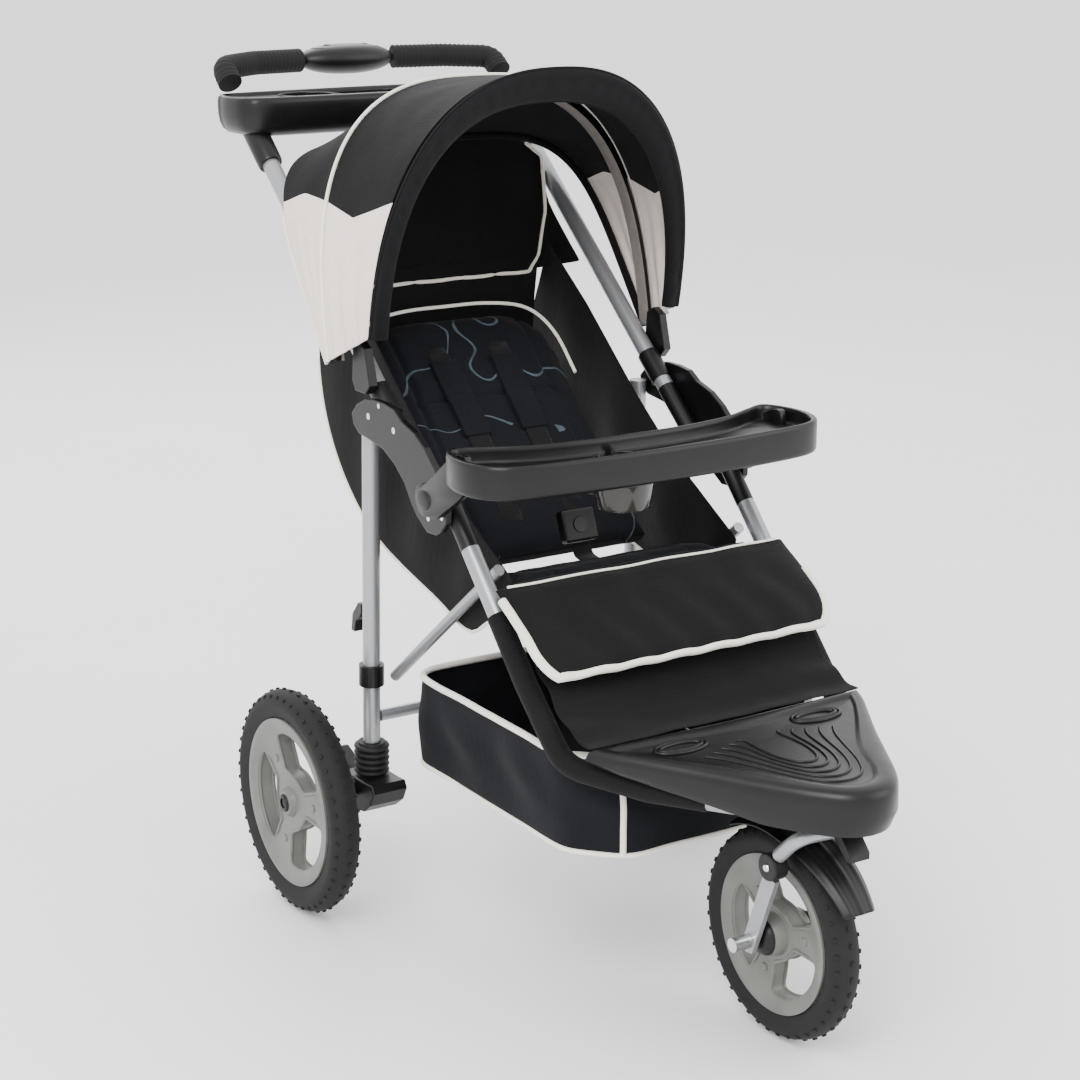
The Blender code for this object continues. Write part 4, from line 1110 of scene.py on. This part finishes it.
def pad(name, outline, place, low, high, mat, reach, pressure=4.0, cuts=()):
    """Stuffed pad: outline (u, v) mapped by place(u, v, height), then puffed up.
    cuts are sewn lines, each ((u, v), (u, v), depth), pressed into its face afterwards."""
    verts = [place(u, v, h) for h in (low, high) for u, v in outline]
    obj = solid(name, verts, prism_faces(len(outline)), mat)
    inflate(obj, reach, pressure)
    up = (place(0, 0, 1) - place(0, 0, 0)).normalized()
    for (u0, v0), (u1, v1), depth in cuts:
        a, b = place(u0, v0, high), place(u1, v1, high)
        run = (b - a).normalized()
        for vertex in obj.data.vertices:
            d = vertex.co - a
            along = d.dot(run)
            flat = d - run * along
            if flat.dot(up) < (low - high) * 0.5 or not -0.005 < along < (b - a).length + 0.005:
                continue
            gap = (flat - up * flat.dot(up)).length
            vertex.co -= up * depth * math.exp(-(gap / 0.0045) ** 2)
    for vertex in obj.data.vertices:
        vertex.co += up * ripple(vertex.co, 0.035, 0.0016, 3.0)
    return obj


def seat():
    base = mirrored([(-0.148, 0.004), (-0.154, 0.012), (-0.154, 0.128), (-0.14, 0.14)])

    def on_base(u, v, h):
        c, s = math.cos(SEAT_LEAN), math.sin(SEAT_LEAN)
        return at(u, 0.03 - v * c + h * s, 0.432 + v * s + h * c)

    obj = pad("seat_cushion", base, on_base, 0.005, 0.026, "black_fabric", 0.008,
              cuts=[((-0.15, 0.07), (0.15, 0.07), 0.005), ((-0.1, 0.01), (-0.1, 0.136), 0.004),
                    ((0.1, 0.01), (0.1, 0.136), 0.004)])
    dress(obj, "front_frame", "black_fabric", "seat_base")
    back = mirrored([(-0.144, 0.02), (-0.146, 0.03), (-0.146, 0.33), (-0.138, 0.37), (-0.116, 0.398),
                     (-0.08, 0.411)])
    obj = pad("backrest_pad", back, back_point, 0.014, 0.034, "printed_fabric", 0.008,
              cuts=[((-0.104, 0.02), (-0.104, 0.395), 0.005), ((0.104, 0.02), (0.104, 0.395), 0.005),
                    ((-0.104, 0.13), (0.104, 0.13), 0.005), ((-0.104, 0.27), (0.104, 0.27), 0.005)])
    dress(obj, "backrest", "black_fabric", "seat_back")
    edge = mirrored([(-0.1505, 0.29), (-0.15, 0.35), (-0.138, 0.388), (-0.112, 0.41), (-0.06, 0.4195),
                     (0.0, 0.4205)])
    top = curve_through([back_point(x, s, 0.036) for x, s in edge], 8)
    piping("backrest_piping", top, 0.0024, "backrest")
    carry("seat_hinge_rod", "steel")
    for side, tag, _ in SIDES:
        harness(side, tag)
        wing(side, tag)


def harness(side, tag):
    path = []
    for i in range(49):
        t = i / 48
        s = 0.35 - 0.275 * t
        bow = 0.0035 * math.sin(math.pi * t) + 0.0008 * math.sin(t * 19)
        path.append(back_point(side * (0.048 - 0.004 * math.sin(math.pi * t)), s, 0.0412 + bow))
    strap = band("harness_strap_" + tag, path, Vector((1, 0, 0)), 0.03, 0.0022, "webbing")
    sleeve = band("sleeve", [p + Vector((0, -0.0008, 0.0008)) for p in path[4:26]], Vector((1, 0, 0)),
                  0.04, 0.0062,
                  "black_fabric")
    soften(sleeve, 0.0015)
    obj = merge("shoulder_pad_" + tag, [sleeve, strap])
    dress(obj, "backrest", "webbing", "shoulder_strap_" + tag)


WING = [(-0.1, 0.468), (-0.04, 0.432), (-0.005, 0.41), (0.03, 0.412), (0.08, 0.428), (0.23, 0.47),
        (0.32, 0.53), (0.375, 0.61), (0.392, 0.7), (0.366, 0.775), (0.345, 0.825)]
WING_TOP = [(-0.095, 0.5), (-0.06, 0.52), (0.03, 0.572), (0.13, 0.648), (0.25, 0.752), (0.345, 0.822)]


def wing(side, tag):
    """Side cloth between the seat and the handle tube, slack in the middle."""
    low = evenly(curve_through(side_path(WING), 6), 48)
    high = evenly(side_path(WING_TOP), 48)
    rows = []
    for r in range(19):
        t = r / 18
        row = []
        for a, b in zip(low, high):
            p = a.lerp(b, t)
            slack = math.sin(math.pi * t) * (0.0035 * math.sin(p.y * 55 + t * 3) - 0.002)
            row.append(at(side * (0.1675 + slack), p.y, p.z))
        rows.append(row)
    obj = cloth("seat_side_" + tag, rows, "lower_fabric")
    dress(obj, "front_frame", "black_fabric", "seat_wing_" + tag)
    edge = to_mesh(pipe("seat_side_piping_" + tag, rows[0][4:40], 0.0021, "piping"))
    dress(edge, "front_frame", "cream_binding")
    for piece in (obj, edge):
        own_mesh(piece)


def to_mesh(obj):
    """Mesh object in place of a curve object, with the same name."""
    name = obj.name
    obj.name = name + "_curve"
    return merge(name, [obj])


def buckle():
    carry("buckle", "black_plastic", 0.0012)
    carry("buckle_button", "charcoal_plastic", 0.0008)
    path = curve_through([at(0, -0.0118, 0.479), at(0, 0.002, 0.4818), at(0, 0.0072, 0.49),
                          at(0, 0.0085, 0.4965)], 6)
    obj = band("crotch_webbing", path, Vector((1, 0, 0)), 0.028, 0.0018, "webbing")
    dress(obj, "front_frame", "webbing", "crotch_strap")


FLAP = [(-0.124, 0.4925), (-0.15, 0.479), (-0.182, 0.46), (-0.212, 0.436), (-0.233, 0.4135)]
SLING = [(-0.164, 0.456), (-0.198, 0.419), (-0.235, 0.385), (-0.274, 0.36), (-0.307, 0.356)]


def calf_flap():
    line = evenly(curve_through(side_path(FLAP), 10), 40)
    rows = []
    for i, p in enumerate(line):
        a, b = line[max(i - 1, 0)], line[min(i + 1, 40)]
        d = (b - a).normalized()
        out = Vector((0, d.z, -d.y))
        edge = min(1.0, math.sin(math.pi * (i + 1) / 42) * 2.2) ** 0.5
        front, rear = [], []
        for c in range(65):
            u = -1 + c / 32
            side = max(0.0, 1 - abs(u) ** 6) ** 0.5
            thick = 0.0085 * edge * side
            fold = 0.0022 * math.sin(u * 21 + 2.0 * math.sin(i * 0.12)) * (i / 40) * side
            wide = 0.211 * (1 - 0.1 * max(0.0, (i - 26) / 14) ** 2.5)
            q = at(u * wide, p.y, p.z) + out * (0.009 + fold + ripple((u, i * 0.03, 0), 0.3, 0.002))
            front.append(q + out * thick)
            rear.append(q - out * thick)
        rows.append(front + rear[::-1])
    obj = loft("calf_pad", rows, "lower_fabric", angle=80.0)
    dress(obj, "front_frame", "black_fabric", "calf_flap")
    middle = [[row[c].lerp(row[129 - c], 0.5) for c in range(65)] for row in rows]
    hem = [row[0] for row in middle[5:-2]] + middle[-2] + [row[-1] for row in reversed(middle[16:-2])]
    piping("calf_pad_piping", hem, 0.0056, "front_frame")
    seam = [p + Vector((0, -0.003, 0.006)) for p in middle[1][2:-2]]
    piping("calf_pad_seam", seam, 0.0016, "front_frame")
    front = []
    for r in range(17):
        t = r / 16
        y = table(t, [(0, -0.082), (0.5, -0.106), (1, -0.13)])
        z = table(t, [(0, 0.489), (0.5, 0.499), (1, 0.493)])
        front.append([at(0.17 * (-1 + c / 24), y, z + ripple((c * 0.05, t, 2), 0.3, 0.0025))
                      for c in range(49)])
    obj = cloth("seat_front_cloth", front, "black_fabric")
    dress(obj, "front_frame", "black_fabric")


def sling():
    """Cloth under the calves, laced down to the footrest, with soft folds across it."""
    line = evenly(curve_through(side_path(SLING), 10), 44)
    rows = []
    for i, p in enumerate(line):
        d = (line[min(i + 1, 44)] - line[max(i - 1, 0)]).normalized()
        out = Vector((0, d.z, -d.y))
        env = math.sin(math.pi * i / 44)
        row = []
        for c in range(65):
            u = -1 + c / 32
            fold = 0.0038 * math.sin(i * 0.42 + 1.3 * math.sin(u * 3.0)) * env * (0.4 + 0.6 * abs(u))
            sag = -0.005 * env * (1 - u * u)
            lift = 0.0015 + fold + sag + ripple((u, i * 0.04, 1), 0.25, 0.0016)
            row.append(at(u * 0.197, p.y, p.z) + out * lift)
        rows.append(row)
    obj = cloth("calf_sling", rows, "lower_fabric")
    dress(obj, "front_frame", "black_fabric", "footrest_fabric")


def basket_ring(z):
    levels = [(0.2, 0.184, 0.134, -0.236, -0.292), (0.27, 0.19, 0.128, -0.234, -0.292),
              (0.326, 0.19, 0.12, -0.23, -0.278)]
    w, back, side, front = (table(z, [(lv[0], lv[k]) for lv in levels]) for k in (1, 2, 3, 4))
    pts = [(0, back), (-w, back), (-w, side), (-w * 0.72, front), (w * 0.72, front), (w, side),
           (w, back), (0, back)]
    path = round_corners([at(x, y, z) for x, y in pts], 0.045, 10)
    return resample(path, [i / 120 for i in range(120)])


def basket():
    rows = []
    for r in range(17):
        z = 0.326 - 0.12 * r / 16
        ring = basket_ring(z)
        env = math.sin(math.pi * r / 16)
        centre = at(0, -0.06, z)
        row = []
        for c, p in enumerate(ring):
            out = (p - centre).normalized()
            wave = 0.0042 * env * math.sin(c * 0.55 + 0.9 * math.sin(r * 0.4))
            push = -0.003 + wave + ripple(p, 0.05, 0.002)
            row.append(p + out * push)
        rows.append(row)
    last = rows[-1]
    centre = at(0, -0.07, 0.2015)
    for r in range(1, 13):
        t = 1 - (r / 12.5)
        fall = 0.2035 - 0.003 * (1 - t)
        row = []
        for p in last:
            q = centre + (p - centre) * t
            row.append(Vector((q.x, q.y, fall + ripple(q, 0.06, 0.002))))
        rows.append(row)
    faces = grid_faces(len(rows), 120, True) + [tuple((len(rows) - 1) * 120 + i for i in range(120))]
    obj = solid("basket_cloth", [v for row in rows for v in row], faces, "black_fabric", angle=80.0)
    thicken(obj, 0.0016)
    subdivide(obj)
    apply_modifiers(obj)
    binding = to_mesh(pipe("basket_binding", rows[0], 0.0042, "piping", closed=True))
    dress(obj, "front_frame", "black_fabric", "basket")
    dress(binding, "front_frame", "cream_binding")
    trim = []
    for x in (-1, 1):
        k = min(range(120), key=lambda c: (rows[0][c] - at(x * 0.136, -0.278, 0.326)).length)
        trim.append(pipe("trim", [row[k] for row in rows[:17]], 0.0038, "piping"))
    trim.append(pipe("trim", rows[16], 0.003, "piping", closed=True))
    trim = merge("basket_trim", trim)
    dress(trim, "front_frame", "cream_binding")
    for piece in (obj, binding, trim):
        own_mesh(piece)


# ---- trays and footrest ---------------------------------------------------------------------
def ring_loft(name, outline, centre, rings, mat, thick=0.0):
    """Skin through (inset, height) rings of a closed outline; height may depend on the point."""
    centre = Vector((*centre, 0))
    sections = []
    for inset, height in rings:
        ring = []
        for p in outline:
            q = p + (centre - p).normalized() * inset
            ring.append(at(q.x, q.y, height(q.y) if callable(height) else height))
        sections.append(ring)
    if not thick:
        return loft(name, sections, mat)
    n = len(outline)
    faces = grid_faces(len(sections), n, True) + [tuple((len(sections) - 1) * n + i for i in range(n))]
    obj = solid(name, [v for s in sections for v in s], faces, mat)
    thicken(obj, thick, -1.0)
    return obj


def mirror_outline(half):
    return [Vector((-x, y, 0)) for x, y in half] + [Vector((x, y, 0)) for x, y in reversed(half[:-1])]


def footrest():
    half = [(0.2, -0.302), (0.186, -0.33), (0.16, -0.372), (0.13, -0.42), (0.094, -0.482),
            (0.062, -0.534), (0.032, -0.567), (0.0, -0.577)]
    front = curve_through(mirror_outline(half), 6)
    rear = [front[-1].lerp(front[0], i / 24) for i in range(1, 24)]
    outline = front + rear

    def skirt(y):
        t = min(1.0, max(0.0, (-0.302 - y) / 0.18))
        return 0.3385 - 0.0365 * t

    rings = [(0.011, skirt), (0.008, lambda y: skirt(y) + 0.001),
             (0.0, lambda y: skirt(y) * 0.6 + 0.352 * 0.4), (0.001, 0.347), (0.004, 0.353),
             (0.009, 0.356), (0.016, 0.3576), (0.023, 0.3576), (0.029, 0.3562), (0.033, 0.354),
             (0.037, 0.353), (0.08, 0.3525)]
    deck = ring_loft("deck", outline, (0, -0.42), rings, "charcoal_plastic", 0.003)
    parts = [deck]
    for k in range(5):
        reach = 0.052 + 0.0165 * k
        path = [p + (Vector((0, -0.35, 0)) - p).normalized() * reach for p in front[16:-16]]
        parts.append(pipe("rib", [at(p.x, p.y, 0.3527) for p in path], 0.0018, "charcoal_plastic",
                          sides=3))
    for side in (-1, 1):
        place = Matrix.Translation(at(side * 0.098, -0.345, 0))
        for grow, mat, r in ((0.0, "charcoal_plastic", 0.0024), (-0.006, "black_plastic", 0.003)):
            size = (0.034 + grow, 0.017 + grow)
            parts.append(oval("oval", place, size, 0.3532, r, mat, count=40, sides=4))
    dress(merge("footrest_moulding", parts), "front_frame", "charcoal_plastic", "footrest")


def child_tray():
    half = [(0.232, -0.058), (0.249, -0.09), (0.251, -0.13), (0.236, -0.163), (0.2, -0.182),
            (0.11, -0.192), (0.0, -0.195)]
    rear = [(0.0, -0.104), (0.08, -0.102), (0.15, -0.09), (0.2, -0.068)]
    outline = tray_ring(half, rear)
    levels = [(-0.005, 0.62), (-0.002, 0.6206), (-0.0004, 0.6225), (0.0, 0.626), (0.0, 0.655),
              (-0.0006, 0.659), (-0.0022, 0.6606), (-0.0045, 0.6611), (-0.0068, 0.6606),
              (-0.0085, 0.659), (-0.0092, 0.655), (-0.0105, 0.646), (-0.0125, 0.643), (-0.016, 0.642)]
    rings = [tray_section(outline, -0.14, -grow, z) for grow, z in levels]
    body = loft("body", rings, "charcoal_plastic")
    hole = [(0.0, 0.6), (0.034, 0.6), (0.034, 0.7), (0.0, 0.7)]
    turn = Matrix.Translation(at(-0.045, -0.1475, 0))
    carve(body, turned("cut", hole, 64, turn, "charcoal_plastic"))
    lip = oval("lip", turn, (0.0362, 0.0362), 0.6424, 0.0018, "charcoal_plastic")
    parts = [body, lip]
    arm = [(-0.006, 0.608), (-0.022, 0.618), (-0.066, 0.65), (-0.1, 0.659), (-0.1, 0.622),
           (-0.084, 0.604), (-0.05, 0.582), (-0.032, 0.57), (-0.012, 0.568)]
    hub = [(HINGE[0] + 0.0205 * math.cos(math.radians(v)), HINGE[1]
            + 0.0205 * math.sin(math.radians(v)))
           for v in range(-110, 100, 15)]
    for side, tag, _ in SIDES:
        outline = [(p.y, p.z) for p in curve_through(side_path(arm + hub), 4, closed=True)]
        low, high = sorted((side * 0.2262, side * 0.2348))
        parts.append(plate("arm", outline, low, high, 0.0016, "charcoal_plastic"))
        badge = [(0.0, 0.0024), (0.01, 0.0021), (0.015, 0.0012), (0.0165, 0.0), (0.0165, -0.001)]
        place = facing(side, side * 0.2348, HINGE)
        parts.append(turned("badge", badge, 48, place @ Matrix.Diagonal((0.72, 1.0, 1.0, 1.0)),
                            "black_plastic"))
    dress(merge("snack_tray", parts), "tray", "charcoal_plastic", "child_tray")
    cup = [(0.0, 0.584), (0.029, 0.584), (0.0318, 0.585), (0.0328, 0.588), (0.0352, 0.606),
           (0.0365, 0.615), (0.0372, 0.6172), (0.04, 0.6176), (0.0402, 0.619), (0.039, 0.6197),
           (0.034, 0.6197), (0.0332, 0.615), (0.0305, 0.59), (0.029, 0.5872), (0.0, 0.5868)]
    dress(turned("drink_cup", cup, 72, turn, "smoked_plastic"), "tray", "smoked_plastic", "cup_holder")


# ---- studio ---------------------------------------------------------------------------------
def studio():
    verts = [(-40, -40, 0), (40, -40, 0), (40, 40, 0), (-40, 40, 0)]
    look = Look("studio_floor", 0.62)
    look.color(look.noise(1.5, 2.0), (0.88, 0.88, 0.88), (0.91, 0.91, 0.91))
    look.bump(look.noise(160.0, 2.0), 0.0002, 0.3)
    MAT["studio_floor"] = look.mat
    solid("floor", [Vector(v) for v in verts], [(0, 1, 2, 3)], "studio_floor")
    world = bpy.context.scene.world or bpy.data.worlds.new("World")
    bpy.context.scene.world = world
    world.use_nodes = True
    background = world.node_tree.nodes["Background"]
    background.inputs["Color"].default_value = (1.0, 1.0, 1.0, 1.0)
    background.inputs["Strength"].default_value = 1.9
    for name, place, aim, size, power in (
        ("key", (-2.6, -2.2, 3.4), (0, 0, 0.6), 2.4, 170),
        ("fill", (2.8, -2.8, 2.4), (0, 0, 0.5), 3.0, 60),
        ("back", (0.6, 3.2, 3.0), (0, 0.1, 0.7), 2.6, 80),
    ):
        lamp = bpy.data.lights.new(name, "AREA")
        lamp.energy = power
        lamp.size = size
        holder = bpy.data.objects.new(name, lamp)
        holder.location = place
        holder.rotation_euler = (Vector(aim) - Vector(place)).to_track_quat("-Z", "Y").to_euler()
        bpy.context.scene.collection.objects.link(holder)
    azimuth, elevation = math.radians(-32.546), math.radians(15.603)
    back = Vector((math.sin(azimuth) * math.cos(elevation), -math.cos(azimuth) * math.cos(elevation),
                   math.sin(elevation)))
    lens = bpy.data.cameras.new("camera")
    lens.lens = 77.5
    lens.sensor_width = 36.0
    camera = bpy.data.objects.new("camera", lens)
    camera.location = (-1.5664, -2.3849, 1.2897)
    camera.rotation_euler = back.to_track_quat("Z", "Y").to_euler()
    bpy.context.scene.collection.objects.link(camera)
    bpy.context.scene.camera = camera


front_frame()
rear_frame()
suspension()
handle_frame()
wheels()
fork()
canopy()
seat()
buckle()
calf_flap()
sling()
basket()
footrest()
child_tray()
studio()
